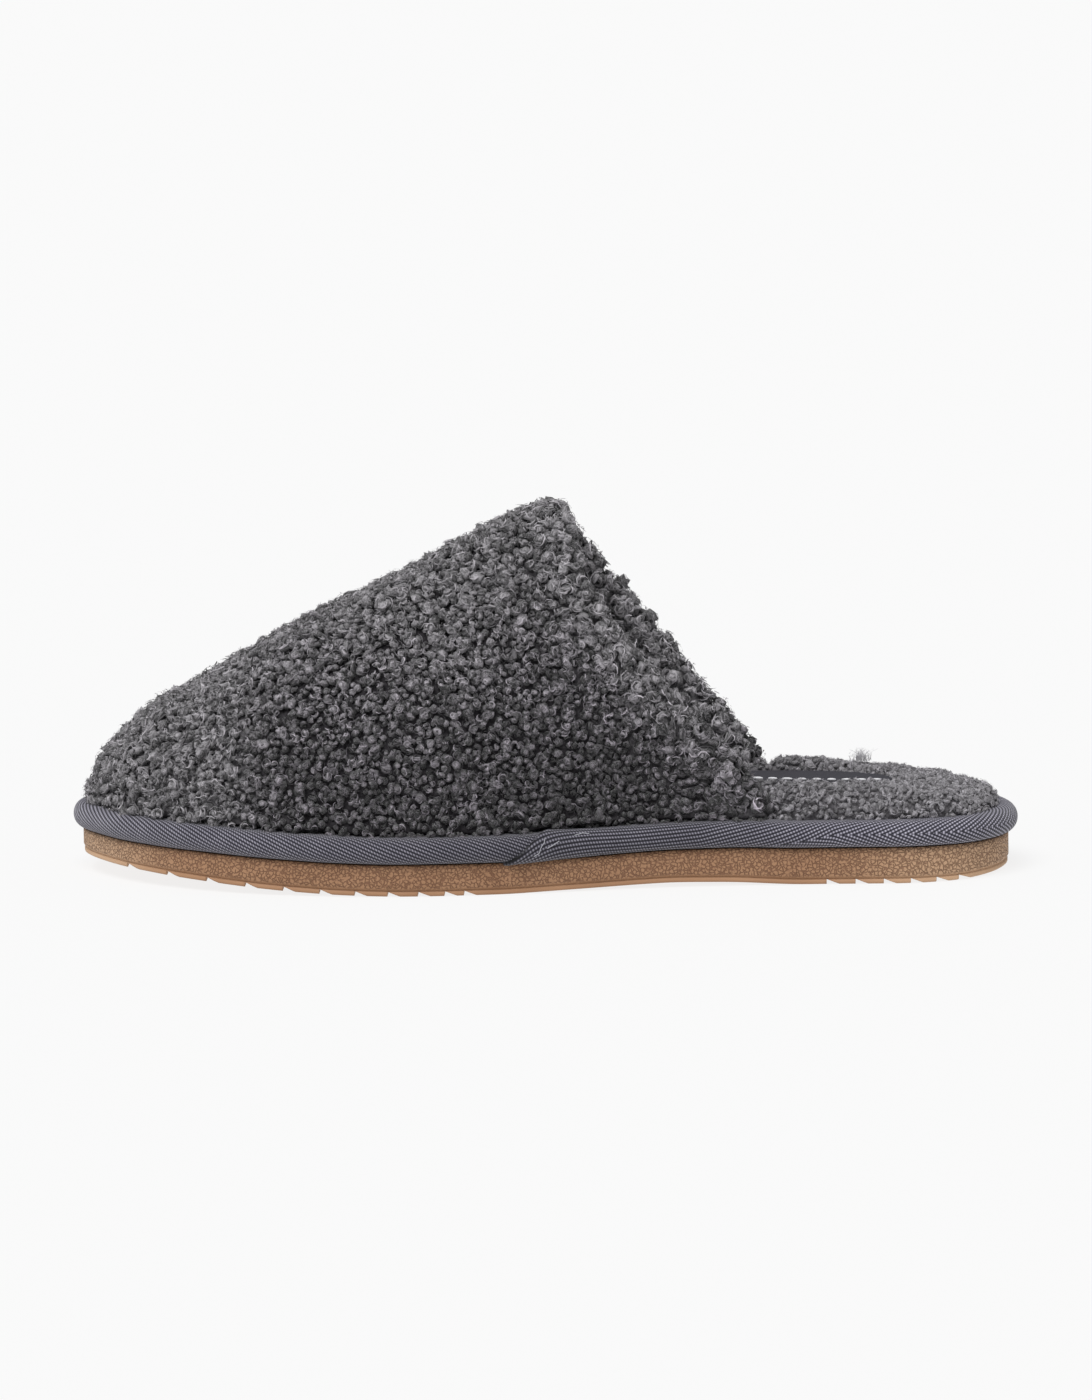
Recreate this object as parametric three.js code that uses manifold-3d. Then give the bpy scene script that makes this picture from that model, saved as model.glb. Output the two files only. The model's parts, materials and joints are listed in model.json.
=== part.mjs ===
// Scuff slipper for the left foot, millimetres, +Z up, standing on Z = 0 with its toe towards -X.
// While it is built, x runs from the toe tip of the outsole (0) to its heel, y is negative on the
// outer side and positive on the inner side, and the finished group is centred at the end.
import * as THREE from 'three';
import { mergeVertices } from 'three/addons/utils/BufferGeometryUtils.js';
import Module from 'manifold-3d';

const wasm = await Module();
wasm.setup();

// Outsole
const SOLE_LENGTH = 279;
const BALL_WIDTH = 97;
const WAIST_WIDTH = 65;
const HEEL_WIDTH = 63.5;
const TOE_SKEW = 9; // how far the toe tip lies towards the inner side
const TOE_SPRING = 5.2;
const ARCH_LIFT = 1.5;
const HEEL_LIFT = 1.2;
const TOE_SIDE = 7.5; // height of the side wall at the toe tip
const BALL_SIDE = 9.4;
const HEEL_SIDE = 10.8;
const BAND_HEIGHT = 1.4; // smooth band under the grained wall, as high as the lugs
const BAND_SET = 0.3; // how far the band lies behind the wall
const BAND_GROOVE = 0.9;
const TREAD_CHAMFER = 0.5;

// Saw-tooth lugs across the tread: upright on the heel side, sloped on the toe side
const LUG_DEPTH = 1.5;
const LUG_GAP = 3.8;
const LUG_RUNOUT = 0.03; // how far under the tread a gap's slope ends
const LUG_CUT_DROP = 2 * BAND_HEIGHT; // how far under the tread the cut for a gap starts
const LUG_CUT_WIDTH = 2 * BALL_WIDTH;
const FORE_LUGS = 11;
const FORE_LUG_FIRST = 14.8;
const FORE_LUG_LAST = 117.2;
const FORE_LUG_CROWDING = 1.25;
const HEEL_LUGS = 6;
const HEEL_LUG_FIRST = 224.5;
const HEEL_LUG_LAST = 264;
const HEEL_LUG_CROWDING = 1.1;

// Taped edge of the platform
const BINDING_HEIGHT = 7.8;
const BINDING_OVERHANG = 2.9; // past the outsole's wall
const BINDING_TURN = 5.5; // from the outsole's wall to the tape's inner edge
const BINDING_SET = 1.2; // where its round face starts, inside the outsole's wall
const BINDING_FULLNESS = 0.8; // power of its round face, a half round at 1 and squarer below

// Upper
const UPPER_SET = 3.3; // from the outsole's wall to the upper's outer face
const UPPER_RISE = 89.8; // highest point of the vamp over the binding
const UPPER_WALL = 8; // pile, backing and pile lining together
const COLLAR_FOOT = 203.6; // where the wall ends at the sole, before its roll
const COLLAR_TOP = 143.6; // where the wall ends on the ridge
const COLLAR_ROLL = 3.6; // how far the rolled edge stands past the wall
const COLLAR_BOW = 4.2; // how far the collar's edge bows back, most low on its height
const BOW_FROM = 0.6; // share of the fan at which the bow starts
const BOW_PEAK = 0.4; // power that brings the bow's fullest place down the collar's height
const ROLL_REACH = 0.02; // share of the fan whose direction the rolled edge carries on
const RIDGE_LEAN = 5; // the ridge lies this far towards the inner side over the ball

// Insole and its label
const PILE_HEIGHT = 9.5; // over the binding where it stands highest, behind the collar
const PILE_ROUND = 4;
const PILE_HEEL_SET = 2.8; // pile edge from the outsole's wall, behind the collar
const PILE_SPREAD = 14; // length behind the collar over which it gets there
const LABEL_LENGTH = 70;
const LABEL_WIDTH = 32;
const LABEL_THICKNESS = 1;
const LABEL_FROM_HEEL = 34.5; // heel end of the label to the heel of the outsole
const LABEL_SINK = 3; // depth of its recess in the pile
const RECESS_CUT = 2 * PILE_HEIGHT; // height of the cut for the recess

const FIT = 0.3; // gap between neighbours
const PILE_CLEARANCE = 0.9; // insole pile to the inside of the upper

// Facets
const TOE_STATIONS = 32;
const HEEL_STATIONS = 14;
const BINDING_FACETS = 8;
const UPPER_SECTIONS = 38;
const UPPER_FACETS = 28;
const ROLL_FACETS = 4;
const LABEL_FACETS = 40;

// Steps and limits of the sums
const ANGLE_STEP = 0.01; // radians round the outline over which its direction is taken
const FAN_STEP = 0.004; // share of the fan over which the ridge's direction is taken
const HALVINGS = 40; // of the angle that is sought for a place along the outline
const SAME_POINT = 1e-4; // corners closer than this are one corner

const FINISHES = {
  outsole: { color: 0x9f7856, roughness: 0.72 },
  binding: { color: 0x666570, roughness: 0.85 },
  insole: { color: 0x77757a, roughness: 0.95 },
  sock_label: { color: 0x4a4a50, roughness: 0.9 },
  upper: { color: 0x5c5a5e, roughness: 0.95 },
};

// Plan of the outsole, a row for each cross-section from toe to heel
const OUTLINE = [
  { at: 0.0, outer: TOE_SKEW, inner: TOE_SKEW },
  { at: 0.02, outer: TOE_SKEW - 0.165 * BALL_WIDTH, inner: TOE_SKEW + 0.155 * BALL_WIDTH },
  { at: 0.06, outer: TOE_SKEW - 0.309 * BALL_WIDTH, inner: TOE_SKEW + 0.268 * BALL_WIDTH },
  { at: 0.12, outer: -0.345 * BALL_WIDTH, inner: 0.443 * BALL_WIDTH },
  { at: 0.2, outer: -0.443 * BALL_WIDTH, inner: 0.49 * BALL_WIDTH },
  { at: 0.28, outer: -0.487 * BALL_WIDTH, inner: 0.5 * BALL_WIDTH },
  { at: 0.36, outer: -0.5 * BALL_WIDTH, inner: 0.485 * BALL_WIDTH },
  { at: 0.44, outer: -0.479 * BALL_WIDTH, inner: 0.438 * BALL_WIDTH },
  { at: 0.53, outer: -0.428 * BALL_WIDTH, inner: 0.376 * BALL_WIDTH },
  { at: 0.62, outer: -0.561 * WAIST_WIDTH, inner: 0.502 * WAIST_WIDTH },
  { at: 0.71, outer: -0.515 * WAIST_WIDTH, inner: 0.485 * WAIST_WIDTH },
  { at: 0.8, outer: -0.504 * HEEL_WIDTH, inner: 0.498 * HEEL_WIDTH },
  { at: 0.88, outer: -0.5 * HEEL_WIDTH, inner: 0.5 * HEEL_WIDTH },
  { at: 0.94, outer: -0.43 * HEEL_WIDTH, inner: 0.43 * HEEL_WIDTH },
  { at: 0.98, outer: -0.28 * HEEL_WIDTH, inner: 0.28 * HEEL_WIDTH },
  { at: 1.0, outer: 0, inner: 0 },
];

// Side view of the outsole: its lift off the floor and the height of its wall
const SIDE = [
  { at: 0.0, lift: TOE_SPRING, wall: TOE_SIDE },
  { at: 0.08, lift: 0.8 * TOE_SPRING, wall: 0.7 * TOE_SIDE + 0.3 * BALL_SIDE },
  { at: 0.15, lift: 0.56 * TOE_SPRING, wall: 0.35 * TOE_SIDE + 0.65 * BALL_SIDE },
  { at: 0.22, lift: 0.28 * TOE_SPRING, wall: 0.1 * TOE_SIDE + 0.9 * BALL_SIDE },
  { at: 0.29, lift: 0.07 * TOE_SPRING, wall: BALL_SIDE },
  { at: 0.34, lift: 0, wall: BALL_SIDE },
  { at: 0.47, lift: 0, wall: BALL_SIDE },
  { at: 0.55, lift: 0.45 * ARCH_LIFT, wall: BALL_SIDE },
  { at: 0.64, lift: ARCH_LIFT, wall: 0.85 * BALL_SIDE + 0.15 * HEEL_SIDE },
  { at: 0.71, lift: 0.7 * ARCH_LIFT, wall: 0.4 * BALL_SIDE + 0.6 * HEEL_SIDE },
  { at: 0.77, lift: 0, wall: HEEL_SIDE },
  { at: 0.94, lift: 0, wall: HEEL_SIDE },
  { at: 0.98, lift: 0.45 * HEEL_LIFT, wall: HEEL_SIDE - 0.45 * HEEL_LIFT },
  { at: 1.0, lift: HEEL_LIFT, wall: HEEL_SIDE - HEEL_LIFT },
];

// Height of the insole's pile: pressed flat inside the upper, thinning out at the heel's end
const PILE = [
  { at: 0.0, height: 0.72 * PILE_HEIGHT },
  { at: 0.5, height: 0.75 * PILE_HEIGHT },
  { at: 0.72, height: PILE_HEIGHT },
  { at: 0.82, height: 0.98 * PILE_HEIGHT },
  { at: 0.88, height: 0.84 * PILE_HEIGHT },
  { at: 0.93, height: 0.66 * PILE_HEIGHT },
  { at: 1.0, height: 0.42 * PILE_HEIGHT },
];

// Edge of the pile's section: shares of its height and of its rounding
const PILE_EDGE = [
  { up: 0, round: 0.2 },
  { up: 0.3, round: 0 },
  { up: 0.75, round: 0.3 },
  { up: 1, round: 1 },
];

// Sections of the upper, fanned from the toe to the slanted collar: where each meets the sole
// and the ridge, as shares of the way to the collar, its rise, its fullness and its lean
const UPPER = [
  { sole: 0, ridge: 0, rise: 0, full: 2, lean: 0.6 },
  { sole: 0.0085, ridge: 0.002, rise: 0.076, full: 2, lean: 0.7 },
  { sole: 0.0236, ridge: 0.015, rise: 0.147, full: 2, lean: 0.8 },
  { sole: 0.0437, ridge: 0.037, rise: 0.204, full: 2.05, lean: 0.9 },
  { sole: 0.0738, ridge: 0.08, rise: 0.273, full: 2.05, lean: 1 },
  { sole: 0.119, ridge: 0.147, rise: 0.355, full: 2.1, lean: 1 },
  { sole: 0.179, ridge: 0.232, rise: 0.431, full: 2.1, lean: 1 },
  { sole: 0.26, ridge: 0.339, rise: 0.533, full: 2.15, lean: 1 },
  { sole: 0.35, ridge: 0.446, rise: 0.644, full: 2.15, lean: 0.9 },
  { sole: 0.445, ridge: 0.552, rise: 0.73, full: 2.2, lean: 0.8 },
  { sole: 0.546, ridge: 0.659, rise: 0.807, full: 2.3, lean: 0.65 },
  { sole: 0.656, ridge: 0.765, rise: 0.881, full: 2.4, lean: 0.5 },
  { sole: 0.777, ridge: 0.872, rise: 0.952, full: 2.5, lean: 0.35 },
  { sole: 0.877, ridge: 0.932, rise: 0.992, full: 2.6, lean: 0.25 },
  { sole: 0.947, ridge: 0.968, rise: 1, full: 2.65, lean: 0.2 },
  { sole: 1, ridge: 1, rise: 0.983, full: 2.7, lean: 0.15 },
];

// Slope of a table's column at a row, flat where the column turns
function slopeAt(rows, column, row) {
  const before = rows[row - 1];
  const here = rows[row];
  const after = rows[row + 1];
  const into = before && (here[column] - before[column]) / (here.at - before.at);
  const out = after && (after[column] - here[column]) / (after.at - here.at);
  if (!before) return out;
  if (!after) return into;
  return into * out > 0 ? (2 * into * out) / (into + out) : 0;
}

// Smooth value of a table's column at any place between its rows
function valueAt(rows, column, at) {
  let row = 0;
  while (row < rows.length - 2 && at > rows[row + 1].at) row += 1;
  const low = rows[row];
  const high = rows[row + 1];
  const span = high.at - low.at;
  const t = THREE.MathUtils.clamp((at - low.at) / span, 0, 1);
  const rise = t * t * (3 - 2 * t);
  const leave = t * (1 - t) * (1 - t);
  const arrive = t * t * (t - 1);
  return (
    low[column] * (1 - rise) +
    high[column] * rise +
    span * (slopeAt(rows, column, row) * leave + slopeAt(rows, column, row + 1) * arrive)
  );
}

// The outline goes once round from the toe by the outer side. Its angle is spaced so that a
// smooth curve of the angle closes both ends round.
const angleOf = (at) => Math.acos(1 - 2 * THREE.MathUtils.clamp(at, 0, 1));
const LOOP = [
  ...OUTLINE.slice(1, -1)
    .map((row) => ({ at: -angleOf(row.at), y: row.inner }))
    .reverse(),
  ...OUTLINE.map((row) => ({ at: angleOf(row.at), y: row.outer })),
  ...OUTLINE.slice(0, -1)
    .map((row) => ({ at: 2 * Math.PI - angleOf(row.at), y: row.inner }))
    .reverse(),
  ...OUTLINE.slice(1, 3).map((row) => ({ at: 2 * Math.PI + angleOf(row.at), y: row.outer })),
];

// Point of the outline at an angle, moved in by an inset
function planPoint(angle, inset) {
  const on = (turn) =>
    new THREE.Vector2((SOLE_LENGTH / 2) * (1 - Math.cos(turn)), valueAt(LOOP, 'y', turn));
  const way = on(angle + ANGLE_STEP).sub(on(angle - ANGLE_STEP)).normalize();
  return on(angle).add(new THREE.Vector2(-way.y, way.x).multiplyScalar(inset));
}

// Stations are close at both round ends, and one lies just behind the collar's roll
const COLLAR_END = COLLAR_FOOT + COLLAR_ROLL + FIT;
const STATIONS = [];
for (let i = 0; i < TOE_STATIONS; i += 1) {
  STATIONS.push(COLLAR_END * (1 - Math.cos((Math.PI * i) / (2 * TOE_STATIONS))));
}
for (let i = 0; i <= HEEL_STATIONS; i += 1) {
  STATIONS.push(COLLAR_END + (SOLE_LENGTH - COLLAR_END) * Math.sin((Math.PI * i) / (2 * HEEL_STATIONS)));
}
const HALF = STATIONS.length - 1;
const ROUND = 2 * HALF;
const ANGLES = Array.from({ length: ROUND }, (_, i) =>
  i <= HALF
    ? angleOf(STATIONS[i] / SOLE_LENGTH)
    : 2 * Math.PI - angleOf(STATIONS[ROUND - i] / SOLE_LENGTH),
);

const treadHeight = (x) => valueAt(SIDE, 'lift', x / SOLE_LENGTH);
const soleTop = (x) => treadHeight(x) + valueAt(SIDE, 'wall', x / SOLE_LENGTH);
const bindingFoot = (x) => soleTop(x) + FIT;
const bindingTop = (x) => bindingFoot(x) + BINDING_HEIGHT;
const upperFoot = (x) => bindingTop(x) + FIT;
const pileTop = (x) => bindingTop(x) + valueAt(PILE, 'height', x / SOLE_LENGTH);

// One loop of the outline. The inset may change along it, and the height follows its own x.
function loopAt(inset, height) {
  return ANGLES.map((angle, i) => {
    const station = STATIONS[i <= HALF ? i : ROUND - i];
    const at = planPoint(angle, typeof inset === 'function' ? inset(station) : inset);
    return new THREE.Vector3(at.x, at.y, height(at.x, station));
  });
}

// Closed body from points and triangles
function geometryOf(points, triangles) {
  const geometry = new THREE.BufferGeometry().setFromPoints(points);
  geometry.setIndex(triangles);
  return geometry;
}

// Loops stacked from low to high, or round in a ring. A stack is closed by strips from side to side.
function stackLoops(loops, ring) {
  const triangles = [];
  const levels = ring ? loops.length : loops.length - 1;
  for (let level = 0; level < levels; level += 1) {
    const low = level * ROUND;
    const high = ((level + 1) % loops.length) * ROUND;
    for (let i = 0; i < ROUND; i += 1) {
      const next = (i + 1) % ROUND;
      triangles.push(low + i, low + next, high + next);
      triangles.push(low + i, high + next, high + i);
    }
  }
  const top = (loops.length - 1) * ROUND;
  for (let i = 0; i < HALF && !ring; i += 1) {
    const far = (ROUND - i) % ROUND;
    const farNext = ROUND - i - 1;
    if (i < HALF - 1) {
      triangles.push(top + i, top + i + 1, top + farNext);
      triangles.push(i, farNext, i + 1);
    }
    if (i > 0) {
      triangles.push(top + i, top + farNext, top + far);
      triangles.push(i, far, farNext);
    }
  }
  return geometryOf(loops.flat(), triangles);
}

function solidOf(geometry) {
  const plain = geometry.clone();
  plain.deleteAttribute('normal');
  plain.deleteAttribute('uv');
  const merged = mergeVertices(plain, SAME_POINT);
  return new wasm.Manifold(
    new wasm.Mesh({
      numProp: 3,
      vertProperties: new Float32Array(merged.attributes.position.array),
      triVerts: new Uint32Array(merged.index.array),
    }),
  );
}

function geometryFrom(solid) {
  const mesh = solid.getMesh();
  const geometry = new THREE.BufferGeometry();
  geometry.setAttribute('position', new THREE.BufferAttribute(new Float32Array(mesh.vertProperties), 3));
  geometry.setIndex(new THREE.BufferAttribute(new Uint32Array(mesh.triVerts), 1));
  return geometry;
}

function part(name, geometry) {
  geometry.computeVertexNormals();
  const mesh = new THREE.Mesh(geometry, new THREE.MeshStandardMaterial(FINISHES[name]));
  mesh.name = name;
  return mesh;
}

// Gap in front of a lug: a prism across the tread, upright at its toe end and sloped to nothing
function lugGap(x) {
  const far = x + LUG_GAP;
  const shape = new THREE.Shape([
    new THREE.Vector2(x, treadHeight(x) - LUG_CUT_DROP),
    new THREE.Vector2(far, treadHeight(far) - LUG_CUT_DROP),
    new THREE.Vector2(far, treadHeight(far) - LUG_RUNOUT),
    new THREE.Vector2(x, treadHeight(x) + LUG_DEPTH),
  ]);
  const prism = new THREE.ExtrudeGeometry(shape, { depth: LUG_CUT_WIDTH, bevelEnabled: false });
  return prism.rotateX(Math.PI / 2).translate(0, LUG_CUT_WIDTH / 2, 0);
}

function lugPlaces(count, first, last, crowding) {
  return Array.from(
    { length: count },
    (_, i) => first + (last - first) * (1 - (1 - i / (count - 1)) ** crowding),
  );
}

function makeOutsole() {
  const over = (rise) => (x) => treadHeight(x) + rise;
  const body = stackLoops([
    loopAt(BAND_SET + TREAD_CHAMFER, over(0)),
    loopAt(BAND_SET, over(TREAD_CHAMFER)),
    loopAt(BAND_SET, over(BAND_HEIGHT)),
    loopAt(BAND_GROOVE, over(BAND_HEIGHT + BAND_SET / 2)),
    loopAt(0, over(BAND_HEIGHT + BAND_GROOVE)),
    loopAt(0, soleTop),
  ]);
  const places = [
    ...lugPlaces(FORE_LUGS, FORE_LUG_FIRST, FORE_LUG_LAST, FORE_LUG_CROWDING),
    ...lugPlaces(HEEL_LUGS, HEEL_LUG_FIRST, HEEL_LUG_LAST, HEEL_LUG_CROWDING),
  ];
  const cut = places.reduce((solid, x) => solid.subtract(solidOf(lugGap(x))), solidOf(body));
  return part('outsole', geometryFrom(cut));
}

// The tape's section is a D: flat below and inside, round outside
function makeBinding() {
  const loops = [loopAt(BINDING_TURN, bindingFoot)];
  for (let i = 0; i <= BINDING_FACETS; i += 1) {
    const turn = (Math.PI * i) / BINDING_FACETS;
    const inset = BINDING_SET - (BINDING_SET + BINDING_OVERHANG) * Math.sin(turn) ** BINDING_FULLNESS;
    const rise = (BINDING_HEIGHT / 2) * (1 - Math.cos(turn));
    loops.push(loopAt(inset, (x) => bindingFoot(x) + rise));
  }
  loops.push(loopAt(BINDING_TURN, bindingTop));
  return part('binding', stackLoops(loops, true));
}

// Platform inside the tape and pile on it. The pile stays inside the upper, and behind the
// collar it spreads over the tape's inner edge.
function makeInsole() {
  const fore = UPPER_SET + UPPER_WALL + PILE_CLEARANCE;
  const openness = (station) =>
    THREE.MathUtils.smoothstep(station, COLLAR_END, COLLAR_END + PILE_SPREAD);
  const edge = (round) => (station) =>
    THREE.MathUtils.lerp(fore, PILE_HEEL_SET, openness(station)) + round * PILE_ROUND;
  const pileFoot = (x, station) => bindingTop(x) + (openness(station) > 0 ? FIT : 0);
  const over = (share) => (x, station) =>
    THREE.MathUtils.lerp(pileFoot(x, station), pileTop(x), share);
  const body = stackLoops([
    loopAt(BINDING_TURN + FIT, bindingFoot),
    loopAt(BINDING_TURN + FIT, pileFoot),
    ...PILE_EDGE.map((row) => loopAt(edge(row.round), over(row.up))),
  ]);
  const recess = ovalPlate(LABEL_LENGTH + 2 * FIT, LABEL_WIDTH + 2 * FIT, RECESS_CUT, labelFloor());
  return part('insole', geometryFrom(solidOf(body).subtract(solidOf(recess))));
}

const labelCentre = () => SOLE_LENGTH - LABEL_FROM_HEEL - LABEL_LENGTH / 2;
const labelFloor = () => pileTop(labelCentre()) - LABEL_SINK;

// Upright oval plate over the label's centre, from a floor up
function ovalPlate(length, width, height, floor) {
  const shape = new THREE.Shape();
  shape.absellipse(labelCentre(), 0, length / 2, width / 2, 0, 2 * Math.PI, false, 0);
  const options = { depth: height, bevelEnabled: false, curveSegments: LABEL_FACETS };
  return new THREE.ExtrudeGeometry(shape, options).translate(0, 0, floor);
}

function makeLabel() {
  const plate = ovalPlate(LABEL_LENGTH, LABEL_WIDTH, LABEL_THICKNESS, labelFloor() + FIT);
  return part('sock_label', geometryFrom(solidOf(plate)));
}

// The upper's rows are evenly spaced in the fan
const FAN = UPPER.map((row, i) => ({ ...row, at: i / (UPPER.length - 1) }));

// Ridge of the upper's outer face, in side view
function ridgePoint(fan) {
  const foot = THREE.MathUtils.lerp(UPPER_SET, COLLAR_FOOT, valueAt(FAN, 'sole', fan));
  return new THREE.Vector2(
    THREE.MathUtils.lerp(UPPER_SET, COLLAR_TOP, valueAt(FAN, 'ridge', fan)),
    upperFoot(foot) + UPPER_RISE * valueAt(FAN, 'rise', fan),
  );
}

// Angle at which the inset outline has a given x, on the outer (side -1) or inner side (1)
function angleAtX(x, inset, side) {
  let low = side < 0 ? 0 : 2 * Math.PI;
  let high = Math.PI;
  for (let i = 0; i < HALVINGS; i += 1) {
    const mid = (low + high) / 2;
    if (planPoint(mid, inset).x < x) low = mid;
    else high = mid;
  }
  return (low + high) / 2;
}

// Point of the upper at a share of the fan and of the way over it, and at a depth in its wall
function upperPoint(fan, over, depth) {
  const inset = UPPER_SET + depth;
  const foot = THREE.MathUtils.lerp(inset, COLLAR_FOOT, valueAt(FAN, 'sole', fan));
  const after = ridgePoint(Math.min(1, fan + FAN_STEP));
  const before = ridgePoint(Math.max(0, fan - FAN_STEP));
  const way = after.sub(before).normalize();
  const ridge = ridgePoint(fan).add(new THREE.Vector2(way.y, -way.x).multiplyScalar(depth));
  const outer = planPoint(angleAtX(foot, inset, -1), inset);
  const inner = planPoint(angleAtX(foot, inset, 1), inset);
  const turn = Math.PI * over;
  const power = 2 / valueAt(FAN, 'full', fan);
  const rise = Math.sin(turn) ** power;
  const spread = Math.sign(Math.cos(turn)) * Math.abs(Math.cos(turn)) ** power;
  const lean = RIDGE_LEAN * valueAt(FAN, 'lean', fan);
  const middle = (outer.y + inner.y) / 2;
  const bowed = THREE.MathUtils.smoothstep(fan, BOW_FROM, 1) * Math.sin(Math.PI * rise ** BOW_PEAK);
  return new THREE.Vector3(
    THREE.MathUtils.lerp((outer.x + inner.x) / 2, ridge.x, rise) + COLLAR_BOW * bowed,
    THREE.MathUtils.lerp(middle, Math.max(middle, lean), rise) + (spread * (outer.y - inner.y)) / 2,
    THREE.MathUtils.lerp(upperFoot(foot), ridge.y, rise),
  );
}

// Rolled edge of the collar: a half round from the outer face to the lining
function rollPoint(over, share) {
  const outside = upperPoint(1, over, 0);
  const inside = upperPoint(1, over, UPPER_WALL);
  const from = 1 - ROLL_REACH;
  const back = upperPoint(from, over, 0).add(upperPoint(from, over, UPPER_WALL));
  const way = outside.clone().add(inside).sub(back).normalize();
  const turn = Math.PI * share;
  return outside
    .clone()
    .add(inside)
    .add(outside.sub(inside).multiplyScalar(Math.cos(turn)))
    .multiplyScalar(0.5)
    .add(way.multiplyScalar(COLLAR_ROLL * Math.sin(turn)));
}

// One skin: outer face from the toe to the collar, over the roll, and the lining back to the toe
function makeUpper() {
  const rows = [];
  for (let i = 0; i <= UPPER_SECTIONS; i += 1) {
    rows.push((over) => upperPoint(i / UPPER_SECTIONS, over, 0));
  }
  for (let i = 1; i < ROLL_FACETS; i += 1) {
    rows.push((over) => rollPoint(over, i / ROLL_FACETS));
  }
  for (let i = UPPER_SECTIONS; i >= 0; i -= 1) {
    rows.push((over) => upperPoint(i / UPPER_SECTIONS, over, UPPER_WALL));
  }
  const across = UPPER_FACETS + 1;
  const points = rows.flatMap((row) =>
    Array.from({ length: across }, (_, i) => row(i / UPPER_FACETS)),
  );
  const triangles = [];
  const last = rows.length - 1;
  for (let row = 0; row < last; row += 1) {
    for (let i = 0; i < UPPER_FACETS; i += 1) {
      const here = row * across + i;
      const there = here + across;
      triangles.push(here, there, here + 1);
      triangles.push(here + 1, there, there + 1);
    }
  }
  // Foot of the wall, closed between the outer face and the lining on each side
  for (let row = 0; row < last / 2; row += 1) {
    for (const side of [0, UPPER_FACETS]) {
      const a = row * across + side;
      const b = a + across;
      const d = (last - row) * across + side;
      const c = d - across;
      const faces = side === 0 ? [a, d, c, a, c, b] : [a, c, d, a, b, c];
      triangles.push(...faces);
    }
  }
  return part('upper', geometryFrom(solidOf(geometryOf(points, triangles))));
}

const slipper = new THREE.Group();
slipper.add(makeOutsole(), makeBinding(), makeInsole(), makeLabel(), makeUpper());

// The origin is under the middle of the whole shoe, on the floor
slipper.updateMatrixWorld(true);
const box = new THREE.Box3().setFromObject(slipper);
const centre = box.getCenter(new THREE.Vector3());
slipper.position.set(-centre.x, -centre.y, -box.min.z);

export default slipper;
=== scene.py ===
# %% [markdown]
# # A curly pile scuff slipper
# The imported model gives the slipper's five solids in metres, toe towards -X, outer side
# towards -Y, standing on Z = 0. This script keeps that frame and dresses it: a grained gum
# rubber sole, a twill tape round the platform, a sewn pile upper, a pile sock and a patch.

# %% Start: load the frame
import json
from math import atan2, cos, pi, radians, sin, tau
import bpy
import numpy as np
from mathutils import Matrix, Quaternion, Vector, noise

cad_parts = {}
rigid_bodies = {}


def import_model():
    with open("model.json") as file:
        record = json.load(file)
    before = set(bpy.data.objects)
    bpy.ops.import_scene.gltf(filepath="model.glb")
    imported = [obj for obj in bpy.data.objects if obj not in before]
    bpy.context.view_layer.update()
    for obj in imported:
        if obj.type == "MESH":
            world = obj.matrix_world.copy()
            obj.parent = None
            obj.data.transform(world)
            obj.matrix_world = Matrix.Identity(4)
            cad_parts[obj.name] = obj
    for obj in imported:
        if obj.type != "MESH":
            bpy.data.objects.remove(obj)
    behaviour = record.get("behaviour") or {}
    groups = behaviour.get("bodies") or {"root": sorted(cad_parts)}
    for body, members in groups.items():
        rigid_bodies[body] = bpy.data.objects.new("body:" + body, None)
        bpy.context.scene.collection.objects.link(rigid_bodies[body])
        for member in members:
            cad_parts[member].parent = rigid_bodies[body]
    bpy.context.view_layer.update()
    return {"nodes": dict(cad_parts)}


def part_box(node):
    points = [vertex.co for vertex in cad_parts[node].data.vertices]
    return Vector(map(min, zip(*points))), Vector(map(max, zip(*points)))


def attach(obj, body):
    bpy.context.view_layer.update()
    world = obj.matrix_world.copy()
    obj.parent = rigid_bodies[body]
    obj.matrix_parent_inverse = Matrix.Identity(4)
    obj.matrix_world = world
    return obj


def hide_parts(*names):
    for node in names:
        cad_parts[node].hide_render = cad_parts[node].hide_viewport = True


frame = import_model()
MM = 0.001

scene = bpy.context.scene
def add_object(name, data):
    """A new object in the scene."""
    made = bpy.data.objects.new(name, data)
    scene.collection.objects.link(made)
    return made

# %% [markdown]
# ## Camera
# The photograph looks at the slipper's outer side from nearly straight on, a little towards
# the heel and a little from above, with a long lens, so the sole's far edge hardly shows.
# A turn about the view axis gives the slight tilt that the picture has.

# %% Camera at the photograph's angle
AZIMUTH, ELEVATION, ROLL = radians(2.0), radians(8.8), radians(0.77)
DISTANCE, AIM = 2.848, Vector((0.0011, 0.0, 0.0512))
back = Vector((sin(AZIMUTH) * cos(ELEVATION), -cos(AZIMUTH) * cos(ELEVATION), sin(ELEVATION)))
camera = add_object("camera", bpy.data.cameras.new("camera"))
camera.data.lens, camera.data.sensor_width = 244.0, 36.0
camera.data.clip_start, camera.data.clip_end = 0.1, 60.0
camera.rotation_mode = "QUATERNION"
camera.location = AIM + back * DISTANCE
camera.rotation_quaternion = (-back).to_track_quat("-Z", "Y") @ Quaternion((0, 0, 1), -ROLL)
scene.camera = camera

# %% [markdown]
# ## Light
# The picture was lit from all sides and a little more from above, on a near-white ground.
# A pale world and one sun do that evenly, where a nearby lamp would leave a bright pool. The
# sun is so wide that its shadows melt away. Standard colour keeps greys as they are set.

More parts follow.
